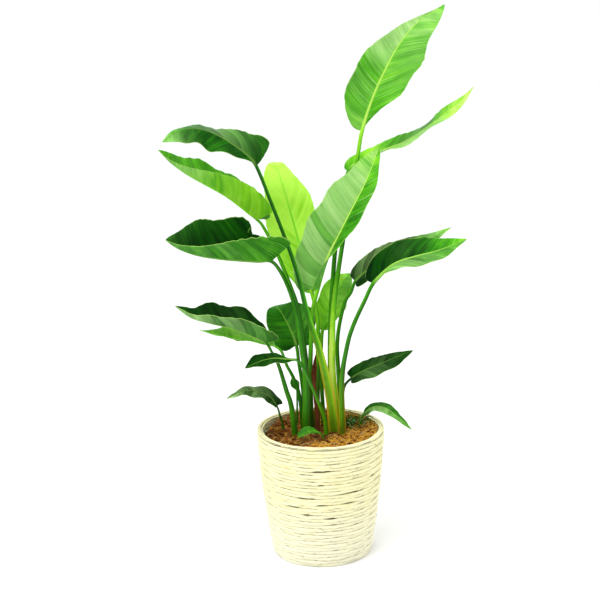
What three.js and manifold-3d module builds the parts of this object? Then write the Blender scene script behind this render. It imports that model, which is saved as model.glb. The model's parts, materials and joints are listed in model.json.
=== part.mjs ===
// A potted bird of paradise, standing in a basket woven from husk rope.
// Millimetres, +Z up. The origin is the centre of the basket's underside, and -Y is the front.
//
// From the outside in, the basket holds a plastic nursery pot, the pot holds soil, and a mat of
// coir lies on the soil. Every leaf is one body from its foot in the soil to its tip.

import * as THREE from "three";
import { mergeVertices } from "three/addons/utils/BufferGeometryUtils.js";
import Module from "manifold-3d";

const wasm = await Module();
wasm.setup();

// ---------------------------------------------------------------- driving dimensions

const GAP = 0.3; // clearance left between pieces that touch

const BASKET_HEIGHT = 306;
const BASKET_RIM_RADIUS = 150; // outside, at the top
const BASKET_FOOT_RADIUS = 118; // outside, where the rounded lower edge ends
const BASKET_BELLY = 4.5; // how far the wall bows out half way up
const BASKET_FLOOR = 10;
const ROPE_ROWS = 36;
const ROPE_RELIEF = 2.8; // how far each turn of rope stands out from the groove below it
const STAKES = 14; // upright stakes that the rope passes in front of and behind
const WEAVE_DEPTH = 1.2; // how far the rope swings out and in at a stake
const WALL = 11;

const POT_RIM_RADIUS = 123;
const POT_FOOT_RADIUS = 95;
const POT_RIM_HEIGHT = 274; // above the surface that the basket stands on
const POT_WALL = 2.5;
const POT_RIM_BAND = 16; // height of the thicker band under the rim

const SOIL_TOP = 271;
const COIR_TOP = 285;
const COIR_RADIUS = 126;
const COIR_BANK = 13; // how much higher the coir lies against the basket's wall
const COIR_DIP_TURN = 3.35; // direction of the one place without a bank, left of the front
const FOOT_DEPTH = 244; // height of the lowest end of a stalk, inside the soil

const BLADE_THICKNESS = 1.2;
const RIB_THICKNESS = 4.5; // extra thickness of the midrib where it leaves the stalk
const LONG_BLADE = 180; // blades longer than this get more points along them
const SHEATH_POWER = 2.5; // how quickly the broad foot of a stalk narrows

// ---------------------------------------------------------------- shared geometry

// A closed body through a row of closed loops of points, with a flat fan over each end.
// "turned" says for which sides of the loop the squares are split along their other diagonal.
function bodyThrough(loops, turned = () => false) {
  const count = loops[0].length;
  const points = loops.flat();
  const faces = [];
  for (let i = 0; i + 1 < loops.length; i++) {
    for (let j = 0; j < count; j++) {
      const a = i * count + j;
      const b = i * count + ((j + 1) % count);
      const c = a + count;
      const d = b + count;
      if (turned(j)) faces.push(a, b, c, b, d, c);
      else faces.push(a, b, d, a, d, c);
    }
  }
  const last = (loops.length - 1) * count;
  for (const [start, flip] of [[0, true], [last, false]]) {
    const middle = new THREE.Vector3();
    for (let j = 0; j < count; j++) middle.addScaledVector(points[start + j], 1 / count);
    points.push(middle);
    for (let j = 0; j < count; j++) {
      const a = start + j;
      const b = start + ((j + 1) % count);
      faces.push(points.length - 1, flip ? b : a, flip ? a : b);
    }
  }
  const geometry = new THREE.BufferGeometry().setFromPoints(points);
  geometry.setIndex(faces);
  return geometry;
}

// One level ring of points about the Z axis. Radius and height may vary with the angle.
function ring(sides, radius, height) {
  const points = [];
  for (let k = 0; k < sides; k++) {
    const angle = (2 * Math.PI * k) / sides;
    const r = typeof radius === "function" ? radius(angle, k) : radius;
    const z = typeof height === "function" ? height(angle, k) : height;
    points.push(new THREE.Vector3(r * Math.cos(angle), r * Math.sin(angle), z));
  }
  return points;
}

function solidOf(geometry) {
  const merged = mergeVertices(geometry);
  return new wasm.Manifold(
    new wasm.Mesh({
      numProp: 3,
      vertProperties: merged.getAttribute("position").array,
      triVerts: new Uint32Array(merged.index.array),
    }),
  );
}

function geometryOf(solid) {
  const mesh = solid.getMesh();
  const geometry = new THREE.BufferGeometry();
  geometry.setAttribute("position", new THREE.BufferAttribute(mesh.vertProperties, 3));
  geometry.setIndex(new THREE.BufferAttribute(mesh.triVerts, 1));
  return geometry;
}

function cutHoles(geometry, cutters) {
  let solid = solidOf(geometry);
  for (const cutter of cutters) solid = solid.subtract(solidOf(cutter));
  return geometryOf(solid);
}

// ---------------------------------------------------------------- basket

const basketSides = 2 * STAKES;
const rowHeight = BASKET_HEIGHT / ROPE_ROWS;

// Outer radius of the wall at a height: a slightly bowed taper, drawn in at the lower edge.
function basketRadius(z) {
  const share = z / BASKET_HEIGHT;
  const taper = BASKET_FOOT_RADIUS + (BASKET_RIM_RADIUS - BASKET_FOOT_RADIUS) * share;
  const edge = Math.max(0, 1 - z / 12);
  return taper + 4 * BASKET_BELLY * share * (1 - share) - 3 * edge * edge;
}

// On even rows the rope passes in front of the even stakes, on odd rows in front of the odd ones.
function weave(row) {
  return (angle, k) => (k % 2 ? 0 : WEAVE_DEPTH * ((k / 2 + row) % 2 ? 1 : -1));
}

function basketGeometry() {
  const rings = [ring(basketSides, basketRadius(0) - 1.5, 0)];
  for (let row = 0; row < ROPE_ROWS - 1; row++) {
    const swing = weave(row);
    const z = rowHeight * (row + 0.5);
    rings.push(ring(basketSides, (a, k) => basketRadius(z) + swing(a, k), z));
    const groove = rowHeight * (row + 1);
    rings.push(ring(basketSides, basketRadius(groove) - ROPE_RELIEF, groove));
  }
  // The rim: three turns of rope side by side.
  const top = BASKET_HEIGHT;
  const rimProfile = [
    [0, -0.5 * rowHeight],
    [-3.5, -1.2],
    [-6, -2.4],
    [-8.5, 0],
    [-11, -2.2],
    [-13.5, -1.2],
    [-15.5, -5],
  ];
  for (const [inward, down] of rimProfile) {
    rings.push(ring(basketSides, BASKET_RIM_RADIUS + inward, top + down));
  }
  // The inside of the wall: a few turns of rope below the rim, then plain to the floor.
  for (let row = 1; row < 5; row++) {
    const groove = top - rowHeight * row - 2;
    rings.push(ring(basketSides, basketRadius(groove) - WALL + 1, groove));
    const z = groove - rowHeight / 2;
    rings.push(ring(basketSides, basketRadius(z) - WALL - 1.6, z));
  }
  for (const z of [180, 100, BASKET_FLOOR]) {
    rings.push(ring(basketSides, basketRadius(z) - WALL, z));
  }
  return bodyThrough(rings);
}

// ---------------------------------------------------------------- nursery pot, soil and coir

const potSides = 24;
const potBottom = BASKET_FLOOR + GAP;

function potRadius(z) {
  const share = (z - potBottom) / (POT_RIM_HEIGHT - potBottom);
  return POT_FOOT_RADIUS + (POT_RIM_RADIUS - 3 - POT_FOOT_RADIUS) * share;
}

function nurseryPotGeometry() {
  const band = POT_RIM_HEIGHT - POT_RIM_BAND;
  return bodyThrough([
    ring(potSides, potRadius(potBottom), potBottom),
    ring(potSides, potRadius(band), band),
    ring(potSides, POT_RIM_RADIUS, band),
    ring(potSides, POT_RIM_RADIUS, POT_RIM_HEIGHT),
    ring(potSides, potRadius(POT_RIM_HEIGHT) - POT_WALL, POT_RIM_HEIGHT),
    ring(potSides, potRadius(potBottom) - POT_WALL, potBottom + POT_WALL),
  ]);
}

function soilGeometry(cutters) {
  const bottom = potBottom + POT_WALL + GAP;
  const inside = (z) => potRadius(z) - POT_WALL - GAP - 0.3;
  const body = bodyThrough([
    ring(potSides, inside(bottom), bottom),
    ring(potSides, inside(SOIL_TOP), SOIL_TOP),
  ]);
  return cutHoles(body, cutters);
}

// The mat is lumpy on top. All round but at the left it is banked up against the basket's wall.
function coirBank(angle) {
  const dip = Math.max(0, Math.cos(angle - COIR_DIP_TURN));
  return 1 - dip * dip;
}

function coirEdge(angle) {
  return COIR_RADIUS + 8 * coirBank(angle) + 1.2 * Math.sin(5 * angle);
}

function coirHeight(share) {
  const climb = Math.max(0, share - 0.66) / 0.34;
  return (angle) => {
    const lumps = Math.sin(6 * angle + 9 * share) + Math.cos(9 * angle - 5 * share);
    const bank = COIR_BANK * coirBank(angle) * climb;
    return COIR_TOP + 2.5 * (1 - share) + 1.2 * share * lumps + bank;
  };
}

function coirGeometry(cutters) {
  const bottom = POT_RIM_HEIGHT + GAP;
  const rings = [
    ring(potSides, (a) => 0.97 * coirEdge(a), bottom),
    ring(potSides, coirEdge, bottom + 3),
  ];
  for (const share of [0.98, 0.84, 0.66, 0.4]) {
    rings.push(ring(potSides, (a) => share * coirEdge(a), coirHeight(share)));
  }
  return cutHoles(bodyThrough(rings), cutters);
}

// ---------------------------------------------------------------- leaves

// Each leaf is a stalk and a blade on one smooth path.
//   stalk  points of the path from the foot up to the blade
//   rib    points of the path along the midrib, the first where the stalk ends, the last the tip
//   faces  which way the upper surface looks at the blade's base, middle and tip
//   width  greatest half width, left and right of the rib, looking from the base to the tip
//   fold   degrees that each half rises from flat, at the base, middle and tip
//   shape  for each half: where it is widest, how blunt its base is, how sharp its tip is
//   curl   degrees that each half goes on turning between rib and margin
//   wave   height of the margin's waves, how many, and where they start
//   lobe   how far each half reaches back past the end of the stalk, as a share of the length
//   foot, neck  half widths of the stalk at its foot and where it meets the blade
const LEAVES = {
  leaf_crown: {
    stalk: [
      [38, 24, FOOT_DEPTH], [38, 23, 330], [31, 20, 420], [31, 20, 500],
      [37, 24, 600], [58, 30, 736], [93, 16, 933],
    ],
    rib: [
      [104, 0, 1000], [127, -8, 1072], [156, -12, 1136],
      [190, -8, 1194], [234, 8, 1240], [290, 35, 1273],
    ],
    faces: [[-0.25, -1, 0.05], [-0.2, -1, 0.2], [-0.1, -0.8, 0.6]],
    width: [64, 64],
    fold: [[18, 8, 10], [30, 0, 15]],
    shape: [[0.3, 0.9, 2.1], [0.5, 1.4, 0.7]],
    curl: [10, -10],
    wave: [4, 3.5, 0.1],
    lobe: [0.02, 0.02],
    foot: 12,
    neck: 4.5,
  },
  leaf_upper_right: {
    stalk: [[34, 39, FOOT_DEPTH], [28, 42, 431], [30, 50, 559], [42, 58, 716], [61, 62, 834]],
    rib: [
      [76, 62, 902], [112, 68, 928], [156, 66, 948], [204, 54, 968],
      [248, 38, 998], [320, 14, 1056], [354, 5, 1094],
    ],
    faces: [[-0.5, -0.8, 0.7], [-0.3, -0.15, 1], [-0.2, -0.9, 0.5]],
    width: [34, 46],
    fold: [[20, 10, 10], [50, 5, 10]],
    shape: [[0.4, 0.4, 1.2], [0.36, 0.35, 1.1]],
    curl: [0, 0],
    wave: [5, 2.5, 0.3],
    lobe: [0.03, 0.06],
    foot: 12,
    neck: 5,
  },
  leaf_upper_left: {
    stalk: [
      [34, 8, FOOT_DEPTH], [26, 2, 360], [1, -14, 492],
      [-25, -24, 582], [-54, -30, 706], [-110, -35, 868],
    ],
    rib: [
      [-134, -36, 931], [-150, -40, 954], [-183, -50, 982], [-223, -62, 1008],
      [-263, -78, 1022], [-301, -94, 1018], [-334, -108, 998],
    ],
    faces: [[0.3, -0.9, 0.3], [0.1, -0.45, 0.87], [-0.2, -0.5, 0.9]],
    width: [50, 64],
    fold: [[70, -10, 0], [0, -16, 0]],
    shape: [[0.55, 0.8, 0.7], [0.2, 0.22, 0.9]],
    curl: [-10, -10],
    wave: [3, 3, 0.2],
    lobe: [0, -0.13],
    foot: 16,
    neck: 4,
  },
  leaf_left_folded: {
    stalk: [
      [-20, 40, FOOT_DEPTH], [-32, 38, 456], [-48, 36, 579],
      [-65, 36, 640], [-96, 38, 722], [-122, 40, 776],
    ],
    rib: [
      [-136, 38, 796], [-174, 32, 830], [-209, 24, 858], [-247, 14, 882],
      [-292, 0, 911], [-326, -14, 940], [-351, -24, 970],
    ],
    faces: [[0.3, -0.1, 1], [0.3, 0, 1], [0.3, 0.1, 1]],
    width: [66, 64],
    fold: [[68, 54, 45], [40, 42, 45]],
    shape: [[0.22, 0.25, 1.6], [0.42, 0.3, 0.8]],
    curl: [0, 0],
    wave: [2, 3, 0.2],
    lobe: [0.04, 0.2],
    foot: 9,
    neck: 5,
  },
  leaf_back_upright: {
    stalk: [[-10, 30, FOOT_DEPTH], [-4, 42, 430], [-1, 60, 536], [-6, 70, 579]],
    rib: [
      [-14, 76, 612], [-31, 84, 680], [-47, 87, 749], [-64, 88, 816],
      [-80, 94, 874], [-92, 118, 908], [-100, 155, 913],
    ],
    faces: [[-0.2, -1, 0.2], [-0.1, -1, 0.3], [0, -0.3, 1]],
    width: [60, 60],
    fold: [[25, 8, 5], [20, 5, 5]],
    shape: [[0.48, 0.5, 0.8], [0.44, 0.5, 0.95]],
    curl: [0, 0],
    wave: [3, 3, 0.2],
    lobe: [0.02, 0.02],
    foot: 9,
    neck: 5,
  },
  leaf_centre: {
    stalk: [[-22, 21, FOOT_DEPTH], [-22, 19, 400], [-20, 13, 476], [-14, -4, 581]],
    rib: [
      [-1, -16, 643], [21, -22, 714], [51, -25, 776], [83, -25, 837],
      [111, -15, 888], [132, 2, 936], [142, 20, 958],
    ],
    faces: [[-0.5, -0.9, 0.1], [-0.45, -0.9, 0.2], [-0.3, -0.8, 0.5]],
    width: [76, 46],
    fold: [[20, 28, 20], [115, 36, 25]],
    shape: [[0.36, 0.35, 0.75], [0.42, 0.3, 0.75]],
    curl: [0, 0],
    wave: [2.5, 4, 0.2],
    lobe: [0.12, 0.02],
    foot: 9,
    neck: 5,
  },
  leaf_left_middle: {
    stalk: [
      [-35, 4, FOOT_DEPTH], [-33, 4, 416], [-41, -3, 500],
      [-53, -11, 590], [-67, -18, 643], [-87, -28, 690],
    ],
    rib: [
      [-107, -38, 715], [-138, -50, 719], [-179, -65, 725], [-219, -80, 732],
      [-268, -100, 745], [-308, -115, 764], [-333, -128, 786],
    ],
    faces: [[0.1, -0.45, 1], [0.1, -0.28, 1], [0.3, -0.2, 1]],
    width: [94, 94],
    fold: [[75, 58, 45], [66, 62, 45]],
    shape: [[0.16, 0.13, 0.9], [0.45, 0.2, 0.65]],
    curl: [0, 0],
    wave: [3, 2, 0.5],
    lobe: [0.02, -0.28],
    foot: 12,
    neck: 5,
  },
  leaf_right_rear: {
    stalk: [[58, 40, FOOT_DEPTH], [45, 36, 434], [45, 34, 516], [61, 32, 594], [76, 26, 622]],
    rib: [
      [86, 20, 649], [108, 10, 674], [142, 0, 700],
      [188, -10, 724], [244, -18, 748], [302, -25, 782],
    ],
    faces: [[-0.5, -0.6, 0.7], [-0.3, -0.45, 0.9], [-0.3, -0.3, 1]],
    width: [46, 42],
    fold: [[10, 15, 20], [30, 5, 10]],
    shape: [[0.3, 0.3, 0.9], [0.36, 0.42, 0.9]],
    curl: [-20, -20],
    wave: [3, 3, 0.2],
    lobe: [0.02, 0.02],
    foot: 8,
    neck: 4.5,
  },
  leaf_right_front: {
    stalk: [[53, -4, FOOT_DEPTH], [51, -20, 415], [64, -36, 511], [79, -46, 564], [104, -56, 622]],
    rib: [
      [123, -62, 663], [154, -68, 698], [182, -76, 717],
      [222, -86, 731], [269, -96, 745], [327, -108, 771],
    ],
    faces: [[-0.4, -0.7, 0.7], [-0.2, -0.75, 0.7], [-0.2, -0.5, 0.9]],
    width: [50, 42],
    fold: [[20, 5, 10], [75, 35, 15]],
    shape: [[0.38, 0.42, 0.85], [0.5, 0.6, 0.8]],
    curl: [-10, -10],
    wave: [3, 4, 0.2],
    lobe: [0.06, 0],
    foot: 10,
    neck: 4.8,
  },
  leaf_left_lower: {
    stalk: [
      [-56, -12, FOOT_DEPTH], [-67, -22, 357], [-79, -32, 407],
      [-95, -46, 472], [-109, -58, 508],
    ],
    rib: [
      [-122, -70, 535], [-135, -76, 544], [-168, -86, 562], [-205, -95, 578],
      [-245, -104, 591], [-286, -114, 607], [-320, -125, 637],
    ],
    faces: [[0.2, -0.1, 1], [0.2, 0, 1], [0.3, 0, 1]],
    width: [60, 64],
    fold: [[48, 38, 30], [40, 38, 30]],
    shape: [[0.32, 0.3, 0.95], [0.38, 0.3, 0.95]],
    curl: [0, 0],
    wave: [3, 3, 0.2],
    lobe: [0.04, 0.03],
    foot: 9,
    neck: 5,
  },
  leaf_left_pale: {
    stalk: [[-38, 32, FOOT_DEPTH], [-47, 32, 361], [-60, 30, 412], [-78, 24, 452], [-88, 16, 486]],
    rib: [
      [-103, 12, 501], [-124, 6, 509], [-160, 0, 520],
      [-206, -10, 532], [-240, -20, 543], [-276, -30, 555],
    ],
    faces: [[0.1, -0.3, 1], [0.1, -0.4, 1], [0.2, -0.4, 1]],
    width: [32, 32],
    fold: [[35, 30, 20], [40, 35, 30]],
    shape: [[0.42, 0.6, 1.4], [0.42, 0.6, 1.6]],
    curl: [0, 0],
    wave: [2, 3, 0.2],
    lobe: [0.02, 0.02],
    foot: 7,
    neck: 4,
  },
  leaf_round_rear: {
    stalk: [[-32, 54, FOOT_DEPTH], [-40, 58, 378], [-48, 70, 440]],
    rib: [[-53, 78, 482], [-66, 79, 521], [-80, 82, 550], [-93, 90, 570], [-101, 110, 574]],
    faces: [[-0.1, -1, 0.1], [0, -0.9, 0.4], [0, -0.4, 1]],
    width: [54, 66],
    fold: [[20, 10, 5], [15, 5, 5]],
    shape: [[0.42, 0.28, 0.7], [0.42, 0.28, 0.7]],
    curl: [0, 0],
    wave: [2, 2, 0.2],
    lobe: [0.12, 0.1],
    foot: 7,
    neck: 4.2,
  },
  leaf_left_small: {
    stalk: [[15, -14, FOOT_DEPTH], [11, -20, 326], [-3, -34, 372], [-19, -48, 418], [-39, -62, 470]],
    rib: [[-52, -68, 489], [-79, -78, 496], [-109, -86, 500], [-140, -92, 494], [-170, -96, 481]],
    faces: [[0.2, -0.6, 0.8], [0, -0.6, 0.8], [-0.2, -0.6, 0.8]],
    width: [20, 19],
    fold: [[25, 15, 15], [20, 10, 10]],
    shape: [[0.55, 0.7, 0.9], [0.68, 0.8, 0.8]],
    curl: [0, 0],
    wave: [2, 2.5, 0.1],
    lobe: [0.02, 0.02],
    foot: 8,
    neck: 3.5,
  },
  leaf_left_low: {
    stalk: [[-86, 28, FOOT_DEPTH], [-90, 26, 304], [-95, 22, 324]],
    rib: [[-102, 16, 352], [-118, 10, 378], [-145, 0, 394], [-180, -10, 399], [-219, -20, 385]],
    faces: [[0.6, -0.5, 0.5], [0.1, -0.35, 0.9], [-0.3, -0.5, 0.9]],
    width: [18, 28],
    fold: [[10, -5, 5], [10, 0, 5]],
    shape: [[0.4, 0.5, 0.9], [0.26, 0.2, 0.9]],
    curl: [-20, -20],
    wave: [2, 3, 0.1],
    lobe: [0.04, 0.1],
    foot: 5,
    neck: 2.6,
  },
  leaf_right_low: {
    stalk: [[93, 46, FOOT_DEPTH], [98, 42, 302]],
    rib: [[105, 35, 322], [125, 18, 344], [154, -5, 349], [182, -30, 334], [212, -55, 311]],
    faces: [[-0.5, -0.5, 0.6], [0.1, -0.5, 0.8], [0.5, -0.5, 0.8]],
    width: [16, 17],
    fold: [[15, 5, 5], [25, 15, 5]],
    shape: [[0.4, 0.5, 0.9], [0.4, 0.5, 0.9]],
    curl: [-20, -20],
    wave: [2, 2.5, 0.1],
    lobe: [0.03, 0.03],
    foot: 4.5,
    neck: 2.6,
  },
  leaf_right_small: {
    stalk: [[59, 20, FOOT_DEPTH], [53, 17, 336], [55, 21, 378], [60, 28, 397]],
    rib: [[74, 20, 415], [95, 12, 432], [130, 0, 452], [168, -12, 471], [216, -25, 495]],
    faces: [[-0.4, -0.6, 0.7], [-0.2, -0.5, 0.85], [-0.2, -0.5, 0.85]],
    width: [28, 36],
    fold: [[15, 5, 10], [30, 15, 15]],
    shape: [[0.3, 0.25, 0.9], [0.45, 0.4, 0.7]],
    curl: [-10, -20],
    wave: [2, 3, 0.1],
    lobe: [0.05, 0.05],
    foot: 6,
    neck: 3.4,
  },
  leaf_rear_pale: {
    stalk: [[10, 54, FOOT_DEPTH], [5, 68, 416], [7, 84, 486]],
    rib: [[10, 90, 516], [18, 91, 549], [33, 89, 588], [50, 84, 622], [64, 85, 642], [76, 101, 652]],
    faces: [[-0.1, -1, 0], [0, -1, 0.2], [0, -0.5, 1]],
    width: [34, 36],
    fold: [[15, 5, 5], [15, 5, 5]],
    shape: [[0.5, 0.45, 0.7], [0.5, 0.45, 0.7]],
    curl: [0, 0],
    wave: [2, 2.5, 0.1],
    lobe: [0.02, 0.02],
    foot: 7,
    neck: 4.2,
  },
  leaf_ground: {
    stalk: [[8, -36, FOOT_DEPTH], [6, -40, 290]],
    rib: [[-2, -44, 304], [-16, -50, 312], [-34, -58, 312], [-54, -66, 302]],
    faces: [[0, -0.6, 0.8], [0, -0.7, 0.8], [0, -0.6, 0.8]],
    width: [7, 13],
    fold: [[15, 10, 10], [15, 10, 10]],
    shape: [[0.5, 0.5, 0.8], [0.62, 0.9, 0.55]],
    curl: [0, 0],
    wave: [1, 2, 0.1],
    lobe: [0.02, 0.02],
    foot: 4,
    neck: 2.5,
  },
  leaf_sprout: {
    stalk: [[-56, 62, FOOT_DEPTH], [-54, 64, 351]],
    rib: [[-54, 66, 375], [-58, 66, 390], [-66, 64, 406]],
    faces: [[-0.3, -1, 0.2], [-0.3, -1, 0.3], [-0.3, -0.9, 0.5]],
    width: [11, 11],
    fold: [[15, 10, 10], [15, 10, 10]],
    shape: [[0.5, 0.5, 0.8], [0.5, 0.5, 0.8]],
    curl: [0, 0],
    wave: [1, 2, 0.1],
    lobe: [0.02, 0.02],
    foot: 4,
    neck: 2.4,
  },
  dry_sheath: {
    stalk: [[-6, -3, FOOT_DEPTH], [-8, 0, 330], [-12, 5, 386]],
    rib: [[-13, 8, 416], [-13, 11, 444], [-8, 14, 478]],
    faces: [[0.2, -1, 0], [0.3, -1, 0.1], [0.5, -1, 0.2]],
    width: [7, 7],
    fold: [[40, 40, 30], [40, 40, 30]],
    shape: [[0.3, 0.3, 1], [0.3, 0.3, 1]],
    curl: [0, 0],
    wave: [1, 2, 0.1],
    lobe: [0, 0],
    foot: 7,
    neck: 4.5,
  },
};

const radians = (degrees) => (degrees * Math.PI) / 180;

// A smooth run through values given at the start, middle and end.
function through([start, middle, end], t) {
  const s = 1 - t;
  return start * s * (1 - 2 * t) + 4 * middle * t * s + end * t * (2 * t - 1);
}

// Half width of a blade, from 0 to 1, at t from base to tip.
function outline([widest, bluntBase, sharpTip], t) {
  const bulge = Math.log(0.5) / Math.log(widest);
  const swell = Math.sin(Math.PI * Math.min(0.9996, Math.max(0.0004, t)) ** bulge);
  return Math.max(0, swell) ** (bluntBase * (1 - t) + sharpTip * t);
}

function pathOf(leaf) {
  const points = [...leaf.stalk, ...leaf.rib].map((p) => new THREE.Vector3(...p));
  const curve = new THREE.CatmullRomCurve3(points, false, "catmullrom", 0.5);
  const steps = 20;
  curve.arcLengthDivisions = (points.length - 1) * steps;
  const lengths = curve.getLengths();
  const total = lengths[lengths.length - 1];
  const base = lengths[leaf.stalk.length * steps] / total;
  return { curve, base, bladeLength: total * (1 - base) };
}

// Place on the path with the three directions there: along, up from the blade, and across.
function stationAt(curve, u, facing) {
  const along = curve.getTangentAt(u);
  const up = facing.clone().addScaledVector(along, -facing.dot(along)).normalize();
  return { centre: curve.getPointAt(u), along, up, across: along.clone().cross(up) };
}

const SECTION = [-1, -0.55, 0, 0.55, 1]; // places across a stalk or blade, from margin to margin

// The loop round a stalk: hollow above, round below, broad and flat at the foot.
function stalkLoop(leaf, path, s, clear) {
  const front = new THREE.Vector3(0, -1, 0);
  const facing = front.lerp(new THREE.Vector3(...leaf.faces[0]).normalize(), s);
  const at = stationAt(path.curve, path.base * s, facing);
  const broad = (1 - s) ** SHEATH_POWER;
  const half = leaf.neck + (leaf.foot - leaf.neck) * broad;
  const depth = half * (0.85 - 0.3 * broad);
  const point = (x, z) =>
    at.centre.clone().addScaledVector(at.across, x).addScaledVector(at.up, z);
  const upper = SECTION.map((u) =>
    point((half + clear) * u, depth * (0.55 - 0.3 * (1 - u * u)) + clear),
  );
  const lower = SECTION.map((u) =>
    point((half + clear) * u, depth * (0.2 - 1.1 * Math.sqrt(1 - u * u)) - clear),
  ).reverse();
  return [...upper, ...lower];
}

// The loop round a blade: a thin sheet on both sides of the thicker midrib, with a scalloped margin.
function bladeLoop(leaf, path, t) {
  const [start, middle, end] = leaf.faces.map((f) => new THREE.Vector3(...f).normalize());
  const facing = new THREE.Vector3(
    through([start.x, middle.x, end.x], t),
    through([start.y, middle.y, end.y], t),
    through([start.z, middle.z, end.z], t),
  ).normalize();
  const at = stationAt(path.curve, path.base + (1 - path.base) * t, facing);
  const [height, count, shift] = leaf.wave;
  const upper = [];
  const lower = [];
  for (const u of SECTION) {
    const side = u < 0 ? 0 : 1;
    const reach = Math.abs(u);
    const share = outline(leaf.shape[side], t);
    const scallop = 1 - 0.06 * Math.sin(2 * Math.PI * (count * t + shift + 0.6 * side));
    const angle = radians(through(leaf.fold[side], t) + (leaf.curl[side] * reach) / 2);
    const out = Math.max(1, leaf.width[side] * share * scallop) * u;
    const rise = Math.abs(out) * Math.sin(angle);
    const ripple = height * reach ** 2 * Math.sin(2 * Math.PI * (count * t + shift + 0.3 * side));
    const back = leaf.lobe[side] * path.bladeLength * Math.max(0, 1 - t / 0.25) ** 1.5;
    const point = at.centre
      .clone()
      .addScaledVector(at.across, out * Math.cos(angle))
      .addScaledVector(at.up, rise + ripple * Math.min(1, 1.3 * share))
      .addScaledVector(at.along, -back * share * reach ** 1.5);
    const rib = u === 0 ? RIB_THICKNESS * (leaf.neck / 5) * (1 - t) ** 1.2 : 0;
    const lean = u === 0 ? 0 : Math.sign(u) * Math.sin(angle);
    const straight = u === 0 ? 1 : Math.cos(angle);
    upper.push(point);
    lower.unshift(
      point
        .clone()
        .addScaledVector(at.up, -(BLADE_THICKNESS + rib) * straight)
        .addScaledVector(at.across, (BLADE_THICKNESS + rib) * lean),
    );
  }
  return [...upper, ...lower];
}

// The upper and lower faces are split along the same diagonals, so a waved blade never crosses itself.
const splitAlike = (j) => j < SECTION.length;

const stalkSteps = (path) => (path.bladeLength > LONG_BLADE ? 8 : 5);

function leafGeometry(leaf) {
  const path = pathOf(leaf);
  const large = path.bladeLength > LONG_BLADE;
  const bladeSteps = large ? 13 : 9;
  const loops = [];
  const steps = stalkSteps(path);
  for (let i = 0; i <= steps; i++) loops.push(stalkLoop(leaf, path, i / steps, 0));
  for (let i = 0; i <= bladeSteps; i++) {
    const even = i / bladeSteps;
    const t = 0.012 + 0.983 * (0.75 * even + 0.125 * (1 - Math.cos(Math.PI * even)));
    loops.push(bladeLoop(leaf, path, t));
  }
  return bodyThrough(loops, splitAlike);
}

// The space a stalk needs in the soil and the coir: its own shape, a gap larger all round.
function footCutter(leaf) {
  const path = pathOf(leaf);
  const steps = stalkSteps(path);
  const loops = [];
  for (let i = 0; i <= steps; i++) {
    const loop = stalkLoop(leaf, path, i / steps, GAP);
    if (i === 0) loops.push(loop.map((p) => p.clone().setZ(p.z - GAP)));
    else loops.push(loop);
    if (loop[0].z > COIR_TOP + 20) break;
  }
  return bodyThrough(loops, splitAlike);
}

// ---------------------------------------------------------------- assembly

const material = (color, roughness) =>
  new THREE.MeshStandardMaterial({ color, roughness, metalness: 0 });

const rope = material(0xe9dfb4, 0.85);
const plastic = material(0x2e2c2a, 0.55);
const earth = material(0x3b2718, 0.95);
const coir = material(0xa8662c, 0.95);
const dryHusk = material(0x8a5128, 0.85);
const greens = {
  bright: material(0x6fc41a, 0.4),
  middle: material(0x3f8f22, 0.38),
  dark: material(0x17521d, 0.35),
};

const LEAF_TONE = {
  leaf_crown: greens.middle,
  leaf_upper_right: greens.middle,
  leaf_left_folded: greens.bright,
  leaf_back_upright: greens.bright,
  leaf_centre: greens.middle,
  leaf_left_pale: greens.bright,
  leaf_round_rear: greens.middle,
  leaf_rear_pale: greens.bright,
  leaf_ground: greens.bright,
  leaf_sprout: greens.middle,
  dry_sheath: dryHusk,
};

const plant = new THREE.Group();

function add(name, geometry, finish) {
  const mesh = new THREE.Mesh(geometry, finish);
  mesh.name = name;
  plant.add(mesh);
}

const footCutters = Object.values(LEAVES).map(footCutter);

add("basket", basketGeometry(), rope);
add("nursery_pot", nurseryPotGeometry(), plastic);
add("soil", soilGeometry(footCutters), earth);
add("coir_mulch", coirGeometry(footCutters), coir);
for (const [name, leaf] of Object.entries(LEAVES)) {
  add(name, leafGeometry(leaf), LEAF_TONE[name] ?? greens.dark);
}

export default plant;
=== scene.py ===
"""A potted bird of paradise: a basket of twisted husk rope, a nursery pot with soil and a coir mat,
and nineteen leaves on long stalks. Metres, +Z up, and -Y is the front."""

import bisect
import json
import math
import random

import bpy
from mathutils import Matrix, Vector, geometry, noise


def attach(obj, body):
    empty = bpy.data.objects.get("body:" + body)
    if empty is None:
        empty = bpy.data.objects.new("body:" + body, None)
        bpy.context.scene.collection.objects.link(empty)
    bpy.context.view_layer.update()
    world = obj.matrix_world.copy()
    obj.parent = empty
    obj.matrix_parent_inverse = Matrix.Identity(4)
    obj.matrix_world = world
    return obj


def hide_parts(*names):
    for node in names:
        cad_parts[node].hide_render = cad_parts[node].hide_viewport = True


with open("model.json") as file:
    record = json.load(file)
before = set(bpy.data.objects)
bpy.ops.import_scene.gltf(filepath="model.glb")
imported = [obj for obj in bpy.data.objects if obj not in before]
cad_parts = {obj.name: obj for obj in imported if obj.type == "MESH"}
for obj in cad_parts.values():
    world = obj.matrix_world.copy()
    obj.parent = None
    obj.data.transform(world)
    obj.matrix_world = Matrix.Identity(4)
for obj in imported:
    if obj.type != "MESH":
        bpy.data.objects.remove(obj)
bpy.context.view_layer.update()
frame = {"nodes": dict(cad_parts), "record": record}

# ---------------------------------------------------------------- camera, floor and light
# A camera a little above the plant looks slightly down, over a wide pale floor. A soft light
# hangs overhead, and the room is white behind and above, and dimmer on the camera's side.

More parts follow.
